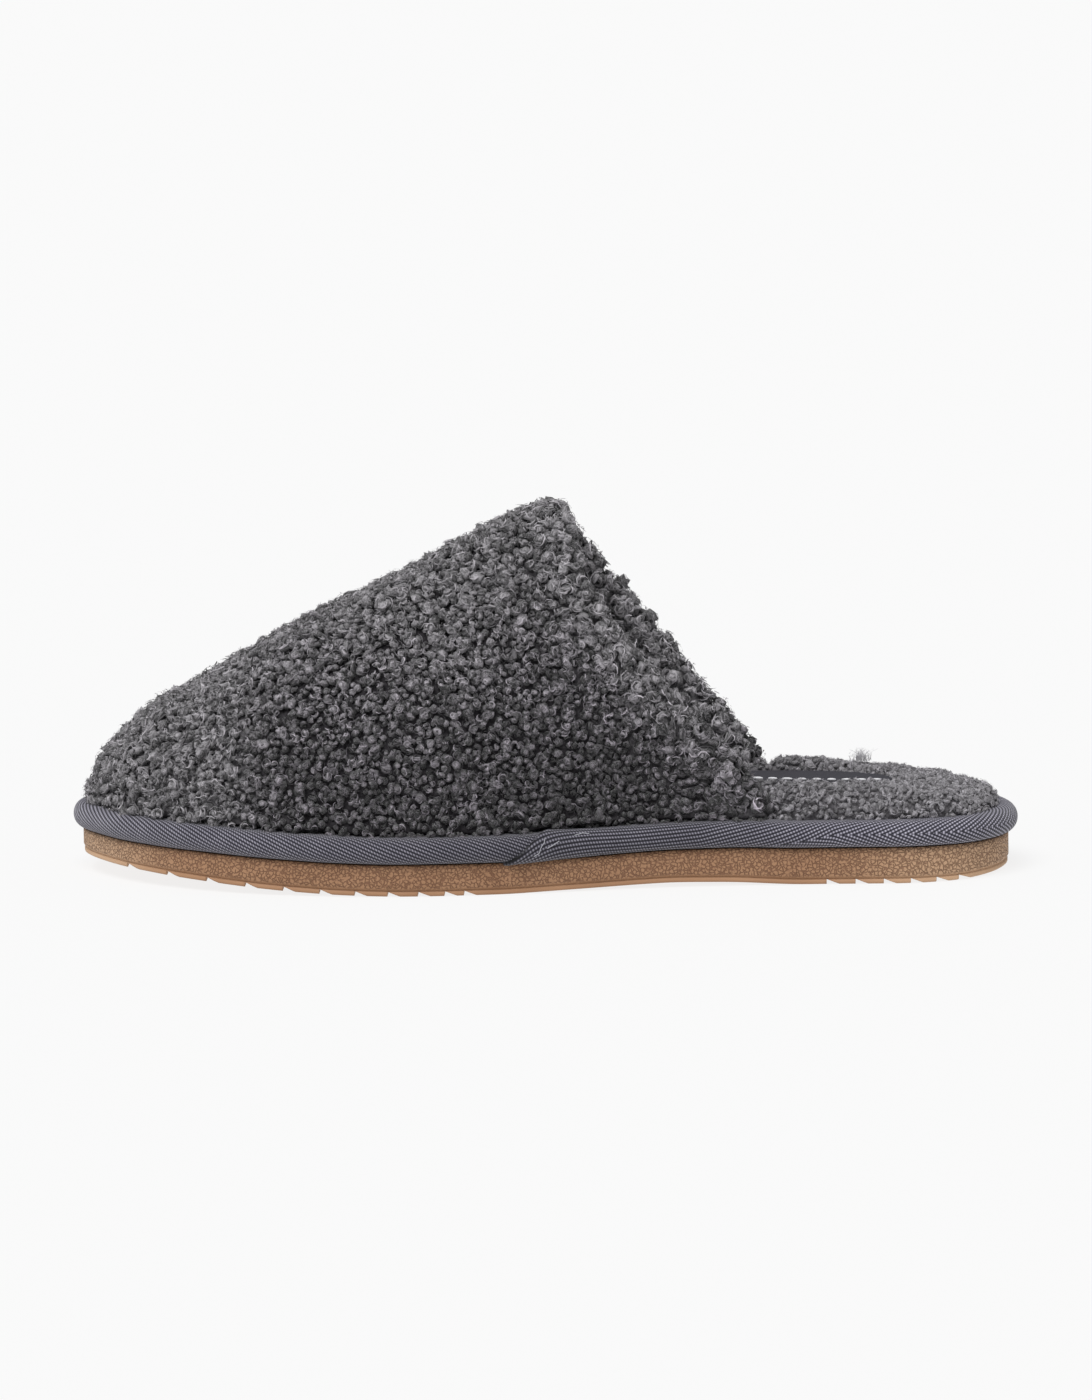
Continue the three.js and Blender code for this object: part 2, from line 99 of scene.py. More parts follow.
# %% Soft light
scene.view_settings.view_transform = "Standard"
world = bpy.data.worlds.new("studio")
scene.world = world
world.use_nodes = True
sky = world.node_tree.nodes["Background"]
sky.inputs["Color"].default_value = (1.0, 1.0, 1.0, 1.0)
sky.inputs["Strength"].default_value = 0.42
sun = add_object("overhead_light", bpy.data.lights.new("overhead_light", "SUN"))
sun.data.energy, sun.data.angle = 2.6, radians(40)
sun.rotation_euler = [radians(v) for v in (30, -14, 0)]

# %% [markdown]
# Every piece is made in the slipper's own place, so its object never moves. One helper smooths
# it, gives it a finish and tells the frame what it is part of.

# %% Helpers that make a piece
def mesh_from(name, points, faces):
    mesh = bpy.data.meshes.new(name)
    mesh.from_pydata([tuple(p) for p in points], [], [tuple(int(i) for i in f) for f in faces])
    mesh.validate()
    mesh.update()
    return mesh

def triangles(mesh):
    return sum(len(face.vertices) - 2 for face in mesh.polygons)

def show(name, mesh, finish, slot=None):
    """An object for the mesh, smooth, that rides on the shoe's one body."""
    piece = add_object(name, mesh)
    mesh.polygons.foreach_set("use_smooth", [True] * len(mesh.polygons))
    mesh.materials.clear()
    mesh.materials.append(finish.material)
    if slot:
        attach(piece, "root")
    print(f"{name}: {triangles(mesh)} triangles")
    return piece

def grid_faces(rows, columns, closed=True, looped=False):
    """Quads between rows of points, round each row if closed, and back to row 0 if looped."""
    return [(r * columns + c, r * columns + (c + 1) % columns,
             (r + 1) % rows * columns + (c + 1) % columns, (r + 1) % rows * columns + c)
            for r in range(rows if looped else rows - 1)
            for c in range(columns if closed else columns - 1)]

# %% [markdown]
# ## Finishes
# A finish is a material whose nodes are added one by one. Short methods stand for the nodes
# that come again and again, so each finish reads as a list: where its pattern comes from,
# what it colours and how high it stands.

# %% Helper: a node tree, built node by node
class Nodes:
    def __init__(self, tree):
        self.tree = tree

    def feed(self, socket, value):
        """Links a socket to another one or to a node's first output, or sets it to a value."""
        value = value.outputs[0] if isinstance(value, bpy.types.Node) else value
        if isinstance(value, bpy.types.NodeSocket):
            self.tree.links.new(value, socket)
        else:
            socket.default_value = (*value, 1.0) if socket.type == "RGBA" else value

    def add(self, kind, inputs=(), **settings):
        """A node with its settings, and its inputs fed by name or number."""
        made = self.tree.nodes.new(kind)
        for key, value in settings.items():
            setattr(made, key, value)
        for key, value in dict(inputs).items():
            self.feed(made.inputs[key], value)
        return made

    def maths(self, operation, *values, kind="ShaderNodeMath"):
        return self.add(kind, dict(enumerate(values)), operation=operation)

    def vectors(self, operation, *values):
        return self.maths(operation, *values, kind="ShaderNodeVectorMath")

    def product(self, a, b):
        return self.maths("MULTIPLY", a, b)

# %% Helper: a finish
class Finish(Nodes):
    """A material round one Principled shader."""
    def __init__(self, name, roughness, specular):
        self.material = bpy.data.materials.new(name)
        self.material.use_nodes = True
        super().__init__(self.material.node_tree)
        self.give({"Roughness": roughness, "Specular IOR Level": specular})

    def give(self, inputs):
        """Sets or links the shader's own inputs."""
        for name, value in inputs.items():
            self.feed(self.tree.nodes["Principled BSDF"].inputs[name], value)
        return self

    def spot(self):
        return self.add("ShaderNodeTexCoord").outputs["Object"]

    def stored(self, name, output="Fac"):
        """What the mesh keeps at its vertices under a name."""
        return self.add("ShaderNodeAttribute", attribute_name=name).outputs[output]

    def cloud(self, spot, scale, detail, output="Fac"):
        """Noise over the piece."""
        inputs = {"Vector": spot, "Scale": scale, "Detail": detail}
        return self.add("ShaderNodeTexNoise", inputs).outputs[output]

    def rescale(self, value, low, high, to_low=0.0, to_high=1.0):
        inputs = {"Value": value, "From Min": low, "From Max": high, "To Min": to_low, "To Max": to_high}
        return self.add("ShaderNodeMapRange", inputs)

    def ramp(self, value, stops):
        """Colours along a value."""
        made = self.add("ShaderNodeValToRGB", {0: value})
        elements = made.color_ramp.elements
        while len(elements) < len(stops):
            elements.new(0.5)
        for element, (at, colour) in zip(elements, stops):
            element.position, element.color = at, (*colour, 1.0)
        return made.outputs["Color"]

    def greys(self, value, stops):
        return self.ramp(value, [(at, (level,) * 3) for at, level in stops])

    def mix(self, factor, a, b, kind="MIX"):
        inputs = {"Factor": factor, 6: a, 7: b}
        return self.add("ShaderNodeMix", inputs, data_type="RGBA", blend_type=kind).outputs[2]

    def times(self, a, b):
        return self.mix(1.0, a, b, "MULTIPLY")

    def bump(self, height, depth):
        inputs = {"Height": height, "Strength": 1.0, "Distance": depth}
        self.give({"Normal": self.add("ShaderNodeBump", inputs)})

# %% [markdown]
# The floor lies a hair under the sole and glows a little, so that it stays near white.

# %% Floor
FLOOR, UNDER = 12.0, -MM / 20
floor_paint = Finish("pale_floor", 0.9, 0.0)
floor_paint.give({"Base Color": (0.12,) * 3, "Emission Color": (1.0,) * 3, "Emission Strength": 0.82})
corners = [(x * FLOOR, y * FLOOR, UNDER) for x, y in ((-1, -1), (1, -1), (1, 1), (-1, 1))]
floor = show("floor", mesh_from("floor", corners, [(0, 1, 2, 3)]), floor_paint)

# %% [markdown]
# ## The sole's outline
# Sole and tape follow one outline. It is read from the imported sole: the corners of its top
# face in their order round the shoe. A periodic cubic through them gives back the smooth
# curve that the facets stand for.

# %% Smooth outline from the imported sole
def top_ring():
    mesh = frame["nodes"]["outsole"].data
    corners = {tuple(round(c, 6) for c in mesh.vertices[i].co)
               for face in mesh.polygons if face.normal.z > 0.9 and face.center.z > 8 * MM
               for i in face.vertices}
    return np.array(sorted(corners, key=lambda c: atan2(c[1], c[0])))

def smooth_loop(ring, count):
    """Points spaced evenly along the periodic cubic through a ring of points."""
    step = np.linalg.norm(np.roll(ring, -1, 0) - ring, axis=1)
    n, before = len(ring), np.roll(step, 1)
    system = np.diag(2 * (step + before))
    for i in range(n):
        system[i, i - 1] += before[i]
        system[i, (i + 1) % n] += step[i]
    slope = (np.roll(ring, -1, 0) - ring) / step[:, None]
    bend = np.linalg.solve(system, 6 * (slope - np.roll(slope, 1, 0)))
    start = np.concatenate([[0], np.cumsum(step)])
    along = np.linspace(0, start[-1], count, endpoint=False)
    i = np.clip(np.searchsorted(start, along, "right") - 1, 0, n - 1)
    h, b, a = step[i][:, None], (along - start[i])[:, None], (start[i + 1] - along)[:, None]
    j = (i + 1) % n
    return (bend[i] * a**3 / (6 * h) + bend[j] * b**3 / (6 * h)
            + (ring[i] / h - bend[i] * h / 6) * a + (ring[j] / h - bend[j] * h / 6) * b)

RIM_POINTS = 4000
rim = smooth_loop(top_ring(), RIM_POINTS)
way = np.roll(rim, -1, 0) - np.roll(rim, 1, 0)
way[:, 2] = 0
way /= np.linalg.norm(way, axis=1)[:, None]
inward = np.stack([-way[:, 1], way[:, 0], 0 * way[:, 0]], axis=1)
rim_length = np.linalg.norm(np.roll(rim, -1, 0) - rim, axis=1).sum()
toe_end, heel_end = int(rim[:, 0].argmin()), int(rim[:, 0].argmax())
print(f"outline {RIM_POINTS} points, {rim_length / MM:.0f} mm round")

# %% [markdown]
# The tread lifts at the toe, a little at the arch and at the heel. A helper reads such broken
# lines here and below.

# %% Heights along the shoe
def read_line(value, stops, unit=1.0):
    """The height of a broken line at each value; its stops' places are in millimetres."""
    places, heights = np.array(stops, float).T
    return np.interp(value, places * MM, heights * unit)

HALF_SOLE, ROUNDING = 139.5 * MM, 6
LIFT = [(-139.5, 5.2), (-117.2, 4.16), (-97.7, 2.91), (-78.1, 1.46), (-58.6, 0.36), (-44.6, 0.0),
        (-8.4, 0.0), (14.0, 0.68), (39.1, 1.5), (58.6, 1.05), (75.3, 0.0), (122.8, 0.0),
        (133.9, 0.54), (139.5, 1.2)]

def tread_height(x):
    """The lift at x, rounded over some millimetres so that the tread has no kinks."""
    x = np.asarray(x)
    shifts = np.linspace(-1, 1, 9)
    weight = 1 - np.abs(shifts) * 0.8
    ends = read_line(x, LIFT, MM)
    inside = np.clip((HALF_SOLE - np.abs(x)) / (ROUNDING * MM), 0, 1)
    around = read_line(x[..., None] + shifts * ROUNDING * MM, LIFT, MM)
    return ends + inside * ((around * weight).sum(-1) / weight.sum() - ends)

top_order = np.argsort(rim[:, 0])
def sole_top(x):
    return np.interp(x, rim[top_order, 0], rim[top_order, 2])

# %% [markdown]
# ## Outsole
# The real sole is moulded rubber: a wrinkled side wall, a thin groove, and under it a smooth
# band that the cross lugs cut into teeth. Stations along the shoe carry a profile on each
# side and join across the tread. Two stations lie close together wherever a lug starts, so
# each tooth has a crisp upright face and a sloping back.

# %% Outsole: lugs and stations
GAP, CUT, TWIN = 3.8 * MM, 1.5 * MM, 0.02 * MM

def lug_row(first, span, count, crowding):
    """Where a row's lugs start, in millimetres from the toe, closer together towards its end."""
    return [first + span * (1 - (1 - i / (count - 1)) ** crowding) for i in range(count)]

lugs = np.array(lug_row(14.8, 102.4, 11, 1.25) + lug_row(224.5, 39.5, 6, 1.1)) * MM - HALF_SOLE
stations = HALF_SOLE * np.sin(np.linspace(-pi / 2, pi / 2, 300))
stations = np.unique(np.concatenate([stations, lugs - TWIN, lugs + TWIN, lugs + GAP / 2, lugs + GAP]))
stations = stations[(stations > rim[:, 0].min() + 1e-6) & (stations < rim[:, 0].max() - 1e-6)]
print(len(lugs), "lugs,", len(stations), "stations")

def lug_cut(x):
    """How far the tread is cut up at x: full at a gap's toe end, running out towards the heel."""
    cut = np.zeros(len(x))
    for start in lugs:
        share = (x - start) / GAP
        cut = np.where((share >= 0) & (share < 1), CUT * (1 - share), cut)
    return cut

# %% Outsole: where the stations meet the outline
def side_places(first_side):
    """Where each station meets the outline on one side, as a place in the rim's points."""
    order = np.arange(toe_end, toe_end + RIM_POINTS + 1)
    reach = (heel_end - toe_end) % RIM_POINTS
    part = order[:reach + 1] if first_side else order[reach:][::-1]
    return np.interp(stations, rim[part % RIM_POINTS, 0], part)

def rim_at(places, inset):
    """Outline points at fractional places, moved in by an inset."""
    low = np.floor(places).astype(int)
    t = (places - low)[:, None]
    a, b = low % RIM_POINTS, (low + 1) % RIM_POINTS
    inset = np.broadcast_to(inset, len(places))[:, None]
    return rim[a] * (1 - t) + rim[b] * t + (inward[a] * (1 - t) + inward[b] * t) * inset

# %% [markdown]
# The profile climbs from the tread over the smooth band and the groove, each step with its
# inset and height in millimetres, and then the plain wall. Ladders of small quads close the
# two ends, because one face with many corners would show a seam.

# %% Outsole: mesh
PROFILE = [(0.8, 0.0), (0.38, 0.25), (0.3, 0.5), (0.3, 1.25), (0.85, 1.5), (0.8, 1.75), (0.25, 2.1),
           (0.0, 2.6)]
BAND_TOP = PROFILE[-1][1] * MM

def outsole_side(first_side):
    """Strips of points along one side, from the tread's edge up and onto the top."""
    places = side_places(first_side)
    cut, tread, top = lug_cut(stations), tread_height(stations), sole_top(stations)
    levels = [(inset, tread + np.maximum(over * MM, cut + step * 0.02 * MM))
              for step, (inset, over) in enumerate(PROFILE)]
    levels += [(0.0, tread + BAND_TOP + (top - tread - BAND_TOP) * s) for s in (0.25, 0.5, 0.75, 1.0)]
    levels += [(0.5, top), (6.0, top)]
    strips = []
    for inset, height in levels:
        at = rim_at(places, inset * MM)
        at[:, 2] = height
        strips.append(at)
    return strips

def make_outsole():
    first, second = outsole_side(True), outsole_side(False)
    under = [first[0] * (1 - s) + second[0] * s for s in np.linspace(0, 1, 9)[1:-1]]
    over = [second[-1] * (1 - s) + first[-1] * s for s in (0.33, 0.67)]
    ring = first[::-1] + under + second + over
    columns, low, high = len(ring), len(first), len(first) + len(under)
    faces = grid_faces(len(stations), columns)
    ladder = [tuple(range(low - 2, high + 2))]
    ladder += [(low - 2 - j, low - 1 - j, high + j, high + j + 1) for j in range(1, low - 2)]
    ladder += [(columns - 4, columns - 3, columns - 2, columns - 1, 0, 1)]
    faces += [rung[::-1] for rung in ladder]
    faces += [tuple((len(stations) - 1) * columns + i for i in rung) for rung in ladder]
    return mesh_from("outsole_body", np.stack(ring, axis=1).reshape(-1, 3), faces)

# %% [markdown]
# Gum rubber is tan and satin. Its wall is covered with short wrinkles about a millimetre
# apart that wind like worms. The bump sinks them, and the colour is darkened in them as
# painted shade. The edges between small cells, pushed about by a noise and faded here and
# there, wind and break off in the same way. The bottom band and the tread stay smooth, so a
# mask that is stored on the mesh keeps the wrinkles off them. Toe and heel are paler.

# %% Gum rubber
rubber = Finish("gum_rubber", 0.62, 0.25)
spot = rubber.spot()
wander = rubber.cloud(spot, 820.0, 1.0, "Color")
pushed = rubber.vectors("MULTIPLY_ADD", wander, (0.9 * MM,) * 3, spot)
edges = rubber.add("ShaderNodeTexVoronoi", {"Vector": pushed, "Scale": 900.0}, feature="DISTANCE_TO_EDGE")
wrinkle = rubber.rescale(edges.outputs["Distance"], 0.03, 0.16, 1.0, 0.0)
broken = rubber.rescale(rubber.cloud(spot, 1000.0, 0.0), 0.22, 0.42)
lines = rubber.product(rubber.product(wrinkle, broken), rubber.stored("grainy"))
tan = rubber.ramp(rubber.cloud(spot, 45.0, 3.0),
                  [(0.3, (0.33, 0.178, 0.098)), (0.7, (0.39, 0.22, 0.125))])
toned = rubber.mix(rubber.stored("tone"), tan, (0.62, 0.42, 0.27))
# Painted shade: the colour is darkened in the wrinkles' grooves.
shadow = rubber.product(lines, 0.68)
rubber.give({"Base Color": rubber.mix(shadow, toned, (0.13, 0.055, 0.03))})
fine, sunk = rubber.cloud(spot, 2500.0, 1.0), rubber.product(lines, -1.0)
rubber.bump(rubber.maths("MULTIPLY_ADD", fine, 0.12, sunk), 0.22 * MM)

# %% [markdown]
# Masks and tones are numbers at the vertices. They fade in and out by one soft step.

# %% Outsole: masks and the finished piece
def store(mesh, **numbers):
    """Numbers kept at each vertex under their names, for materials and for the pile."""
    for name, values in numbers.items():
        attribute = mesh.attributes.new(name, "FLOAT", "POINT")
        attribute.data.foreach_set("value", np.asarray(values, dtype=np.float32))

def vertex_points(mesh):
    flat = np.empty(len(mesh.vertices) * 3, np.float32)
    mesh.vertices.foreach_get("co", flat)
    return flat.reshape(-1, 3).astype(float)

def ease(value, low, high):
    t = np.clip((value - low) / (high - low), 0, 1)
    return t * t * (3 - 2 * t)

sole_mesh = make_outsole()
x, y, z = vertex_points(sole_mesh).T
toe_pale, heel_pale = ease(-x, 0.105, 0.138), 0.85 * ease(x, 0.08, 0.13)
store(sole_mesh, grainy=ease(z - tread_height(x), 1.9 * MM, 2.5 * MM),
      tone=0.75 * np.maximum(toe_pale, heel_pale))
outsole_body = show("outsole_body", sole_mesh, rubber, "gum_rubber")
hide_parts("outsole")

# %% [markdown]
# ## Binding tape
# A slate twill tape is wrapped round the platform's edge. Its section is a D, and it is lofted
# along the outline with its own map: u runs along the tape and v across it, both in metres,
# so that the weave keeps its size round the toe and the heel.

# %% Tape: section and loft
TAPE_HEIGHT, TAPE_OUT, TAPE_SET, TAPE_TURN, FIT = 7.8 * MM, 2.9 * MM, 1.2 * MM, 5.5 * MM, 0.3 * MM
TAPE_COUNT, FACETS = 720, 22
joint_rim = int(np.argmin(np.abs(rim[:, 0] + 11.5 * MM) + (rim[:, 1] > 0)))
JOINT = joint_rim / RIM_POINTS * rim_length  # how far round the tape its overlapped joint starts

def tape_section(turn):
    """Inset from the outline and height over the tape's foot, round the outer face."""
    inset = TAPE_SET - (TAPE_SET + TAPE_OUT) * np.sin(turn) ** 0.8
    return inset, TAPE_HEIGHT / 2 * (1 - np.cos(turn))

turns = np.linspace(0, pi, FACETS + 1)
face_inset, face_rise = tape_section(turns)
section_inset = np.concatenate([[TAPE_TURN], face_inset, [3.2 * MM, TAPE_TURN]])
section_rise = np.concatenate([[0], face_rise, [TAPE_HEIGHT, TAPE_HEIGHT]])
steps = np.hypot(np.diff(section_inset), np.diff(section_rise))
section_v = np.concatenate([[0], np.cumsum(steps)])

def tape_point(place, inset, rise):
    at = rim_at(place, inset)
    at[:, 2] = sole_top(rim_at(place, 0)[:, 0]) + FIT + rise
    return at

FLAP, LEAN = 28 * MM, 13.5 * MM  # the upper end's length, and how far its folded edge slants
GRAIN = np.arange(0, rim_length + 2 * LEAN, MM / 2)  # places round the tape, from its joint on
SLOPES = read_line(GRAIN, [(0, -0.75), (9, -0.4), (18, 0), (32, 0.14), (50, 0.05), (75, -0.08),
                           (120, -0.5), (300, -0.5), (400, 0.45), (700, 0.45)])
DRIFTS = np.cumsum(SLOPES) * MM / 2

def weave_at(along, under):
    """How far the rows have drifted and how high they fold, from a joint that lies `under` on."""
    past = (along - JOINT - under) % rim_length + under
    fold = read_line(past, [(0, -3), (60, 3), (100, 11), (330, 11), (380, -3), (700, -3)], MM)
    return np.interp(past, GRAIN, DRIFTS), fold

def tape_mesh(name, along, rows, heights, wrapped):
    """Loft of tape: a place round it for each point, the points and height on it of each row."""
    count, columns = along.shape
    points = np.stack(rows).reshape(-1, 3)
    mesh = mesh_from(name, points, grid_faces(count, columns, wrapped, wrapped))
    drift, fold = weave_at(along, 1.1 * LEAN if wrapped else 0.0)
    tones = [(-140, 1.3), (-120, 1.1), (-80, 1.0), (0, 0.72), (50, 0.8), (100, 1.3), (140, 1.36)]
    store(mesh, drift=drift.ravel(), fold=fold.ravel(), tone=read_line(points[:, 0], tones) / 2)
    uv = mesh.uv_layers.new(name="weave").data
    for face in mesh.polygons:
        r, c = divmod(face.index, columns if wrapped else columns - 1)
        for k, loop in enumerate(face.loop_indices):
            row, column = r + (k in (2, 3)), c + (k in (1, 2))
            place = along[row % count, column % columns] + (rim_length if column == columns else 0)
            uv[loop].uv = (place, heights[row])
    return mesh

def make_tape():
    places = np.linspace(0, RIM_POINTS, TAPE_COUNT, endpoint=False)
    pull = 0.12 * MM * np.sin(places * 0.031) * np.sin(places * 0.0113 + 1)
    rows = [tape_point(places, inset + pull, rise) for inset, rise in zip(section_inset, section_rise)]
    along = np.tile(places / RIM_POINTS * rim_length, (len(rows), 1))
    return tape_mesh("edge_tape", along, rows, np.append(section_v, section_v[-1] + TAPE_HEIGHT), True)

# %% [markdown]
# The weave is a herringbone: rows of small raised picks climb from a line low on the tape's
# face, one way above it and the other way below. A drift that is stored along the tape turns
# the rows: they lie nearly flat behind the joint, climb at the heel and fall towards the toe.
# The picks are coloured by their height: pale tops as painted highlight, near-black hollows
# between them as painted shade.

# %% Twill tape material
ROW_PITCH, PICK_PITCH = 1.15 * MM, 0.88 * MM
twill = Finish("binding_tape", 0.72, 0.22).give({"Sheen Weight": 0.25, "Sheen Roughness": 0.45})
weave_map = twill.add("ShaderNodeUVMap", uv_map="weave")
u, v = twill.add("ShaderNodeSeparateXYZ", {0: weave_map}).outputs[:2]
folded = twill.maths("ABSOLUTE", twill.maths("SUBTRACT", v, twill.stored("fold")))
climb = twill.product(twill.maths("ADD", folded, twill.stored("drift")), tau / ROW_PITCH)
beads = twill.maths("MULTIPLY_ADD", u, tau / PICK_PITCH, twill.product(climb, 0.5))
row, pick = (twill.maths("MULTIPLY_ADD", twill.maths("SINE", wave), 0.5, 0.5) for wave in (climb, beads))
height = twill.product(twill.maths("POWER", row, 0.7), twill.maths("MULTIPLY_ADD", pick, 0.6, 0.4))
# Painted highlight on the picks' tops and painted shade in the hollows between them.
threads = twill.ramp(height, [(0.12, (0.012, 0.012, 0.018)), (0.5, (0.1, 0.096, 0.122)),
                              (0.92, (0.38, 0.365, 0.43))])
toned = twill.times(threads, twill.greys(twill.stored("tone"), [(0.0, 0.0), (1.0, 2.0)]))
cast = twill.ramp(twill.cloud(twill.spot(), 140.0, 3.0), [(0.3, (0.86, 0.86, 0.88)), (0.7, (1.08,) * 3)])
twill.give({"Base Color": twill.times(toned, cast)})
twill.bump(height, 0.28 * MM)

edge_tape = show("edge_tape", make_tape(), twill, "binding_tape")
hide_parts("binding")

# %% [markdown]
# The tape's two ends meet on the outer side. One is folded under and laid over the other, so a
# slanting raised edge crosses the tape. It is a second loft that lies close on the first.

# %% Tape: the overlapped end
def face_point(along, turn, out):
    """A point on the tape's outer face, a little out from it."""
    inset, rise = tape_section(turn)
    at = tape_point(along / rim_length * RIM_POINTS, inset - out * np.sin(turn), rise)
    at[:, 2] -= out * np.cos(turn)
    return at

def make_overlap():
    """The raised end: how far along it each point lies, and how far off the tape below."""
    flat = np.linspace(0.12, 1, 22)
    share = np.concatenate([[0, 0, 0.012, 0.035, 0.07], flat])
    lift = np.concatenate([[-0.3, 0.5, 1.0, 1.15, 1.1], 1.05 * (1 - flat) ** 1.6 + 0.06]) * MM
    start = JOINT + LEAN * np.linspace(0, 1, FACETS + 1)
    along = start[:, None] + share[None, :] * FLAP
    rows = [face_point(along[i], np.full(len(share), turn), lift) for i, turn in enumerate(turns)]
    mesh = tape_mesh("tape_overlap", along, rows, section_v[1:FACETS + 2], False)
    # Painted shade: the tone is darkened along the folded edge's first columns, where a crevice lies.
    painted_fold_shade = np.tile(np.where(share < 0.02, 0.25, 1.0), len(rows))
    tones, tone = np.empty(len(painted_fold_shade), np.float32), mesh.attributes["tone"].data
    tone.foreach_get("value", tones)
    tone.foreach_set("value", (tones * painted_fold_shade).astype(np.float32))
    return mesh

show("tape_overlap", make_overlap(), twill, "binding_tape")

# %% [markdown]
# Three threads have come loose at the joint. Each is a thin tube through a few points, given
# by how far past the joint they lie, how far round the tape's face and how far out from it.

# %% Tape: loose threads
THREADS = [[(9.5, 1.15, 1.0), (11.0, 1.35, 1.3), (11.6, 1.7, 1.2), (12.6, 1.95, 1.5), (13.0, 2.25, 1.1)],
           [(13.6, 1.6, 0.8), (15.0, 1.75, 1.4), (17.2, 2.0, 1.0)],
           [(22.0, 2.35, 0.6), (24.5, 2.45, 0.9), (26.5, 2.42, 0.5)]]
THREAD_RADIUS, THREAD_SIDES, THREAD_STEPS = 0.11 * MM, 5, 18

def across(line, i, side):
    """Two directions square to a line at a point, the first close to the last point's."""
    way = (line[min(i + 1, len(line) - 1)] - line[max(i - 1, 0)]).normalized()
    side = (side - way * side.dot(way)).normalized()
    return side, way.cross(side)

def make_threads():
    points, faces = [], []
    for path in THREADS:
        faces += [tuple(len(points) + i for i in f) for f in grid_faces(THREAD_STEPS, THREAD_SIDES)]
        along, turn, out = np.array(path).T
        spots = face_point(JOINT + along * MM, turn, out * MM)
        line = [Vector([np.interp(v, range(len(spots)), spots[:, k]) for k in range(3)])
                for v in np.linspace(0, len(spots) - 1, THREAD_STEPS)]
        side = Vector((0, 0, 1))
        for i, p in enumerate(line):
            side, other = across(line, i, side)
            ring = [tau * k / THREAD_SIDES for k in range(THREAD_SIDES)]
            points += [p + (side * cos(turn) + other * sin(turn)) * THREAD_RADIUS for turn in ring]
    return mesh_from("loose_threads", points, faces)

pale_thread = Finish("pale_thread", 0.7, 0.2).give({"Base Color": (0.42, 0.42, 0.46)})
show("loose_threads", make_threads(), pale_thread, "binding_tape")

# %% [markdown]
# ## Soft skins under the pile
# The upper and the sock are knitted backings with curls on them. Each backing starts as a
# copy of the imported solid: merged, remeshed evenly, smoothed and drawn in by the height
# of the curls, so that the tips of the pile end where the solid does.

# %% Helper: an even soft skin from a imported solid
def bake(piece):
    """A plain mesh of an object with its modifiers, and the object is gone."""
    graph = bpy.context.evaluated_depsgraph_get()
    mesh = bpy.data.meshes.new_from_object(piece.evaluated_get(graph))
    bpy.data.objects.remove(piece)
    return mesh

def soft_skin(node_name, voxel):
    skin = add_object(node_name + "_skin", frame["nodes"][node_name].data.copy())
    skin.modifiers.new("weld", "WELD").merge_threshold = 0.02 * MM
    even = skin.modifiers.new("even", "REMESH")
    even.mode, even.voxel_size = "VOXEL", voxel
    calm = skin.modifiers.new("calm", "SMOOTH")
    calm.factor, calm.iterations = 0.5, 3
    return bake(skin)

def vertex_normals(mesh):
    return np.array([tuple(v.normal) for v in mesh.vertices])

def move_to(mesh, points):
    mesh.vertices.foreach_set("co", points.astype(np.float32).ravel())
    mesh.update()

def lumps(points, size, seed):
    """Soft random swelling between -1 and 1."""
    shift = Vector((seed * 7.1, seed * 3.7, seed * 5.3))
    return np.array([noise.noise(Vector(p) / size + shift) for p in points])

# %% Upper: skin and the measures taken on it
PILE_DEPTH = 1.9 * MM
RIM_WAY = np.array([0.832, 0.0, 0.555])  # square to the collar's slanting edge, out of the shoe
upper_mesh = soft_skin("upper", 2.0 * MM)
at, out = vertex_points(upper_mesh), vertex_normals(upper_mesh)
x, y, z = at.T  # these follow when the points move
axis_x = np.clip(x, -0.11, 0.05)
axis_z = np.interp(axis_x, [-0.11, 0.0, 0.05], [0.03, 0.045, 0.03])
outside = ((at - np.stack([axis_x, np.full(len(at), 0.002), axis_z], 1)) * out).sum(1) > 0
over_tape = z - sole_top(x) - FIT - TAPE_HEIGHT
to_collar = (0.0641 - 0.667 * (z - 0.019) - x) * RIM_WAY[0]
at_rim = ease(6 * MM - to_collar, 0, 6 * MM)
at_foot = ease(7 * MM - over_tape, 0, 6 * MM)
print("upper skin", len(at), "points,", int(outside.sum()), "outside")

# %% [markdown]
# The skin swells softly, sinks in a trough beside the collar where the pile is sewn down, and
# is drawn in by the pile's depth. At its foot it presses on the tape. The rim turns out, and
# both sides of the collar are drawn towards the toe, the near one more, as the photograph has.

# %% Upper: shape of the skin
PULL_NEAR = [(26, 0.0), (38, -2.6), (50, -6.4), (62, -7.8), (80, -7.8), (92, -5.6), (103, 0.0)]
PULL_FAR = [(28, 0.0), (36, -0.6), (44, -2.4), (62, -2.6), (90, -2.4), (100, -1.8), (106, 0.0)]
swell = 0.7 * MM * lumps(at, 17 * MM, 1) + 0.35 * MM * lumps(at, 7 * MM, 2)
hem = np.exp(-((to_collar - 9 * MM) / (3 * MM)) ** 2) * (1 - 0.75 * ease(over_tape, 8 * MM, 45 * MM))
trough = 1.5 * MM * hem * outside
drawn = PILE_DEPTH * (1 - 0.75 * np.maximum(at_rim, at_foot * outside))
drawn += 1.4 * MM * ease(-x, 0.015, 0.05) * ease(out[:, 2], 0.1, 0.7) * outside
rise = 0.2 + 0.9 * ease(z, 0.02, 0.1)
at += out * (swell - trough - drawn)[:, None]
at += (out * [1, 1, 0] - [0, 0, 0.6]) * (MM * at_foot * outside)[:, None]
at += RIM_WAY * (rise * MM * ease(7 * MM - to_collar, 0, 6 * MM))[:, None]
near_side = ease(-y, 0.001, 0.018)
pull = near_side * read_line(z, PULL_NEAR) + (1 - near_side) * read_line(z, PULL_FAR)
x += MM * (pull * ease(34 * MM - to_collar, 0, 30 * MM))
move_to(upper_mesh, at)
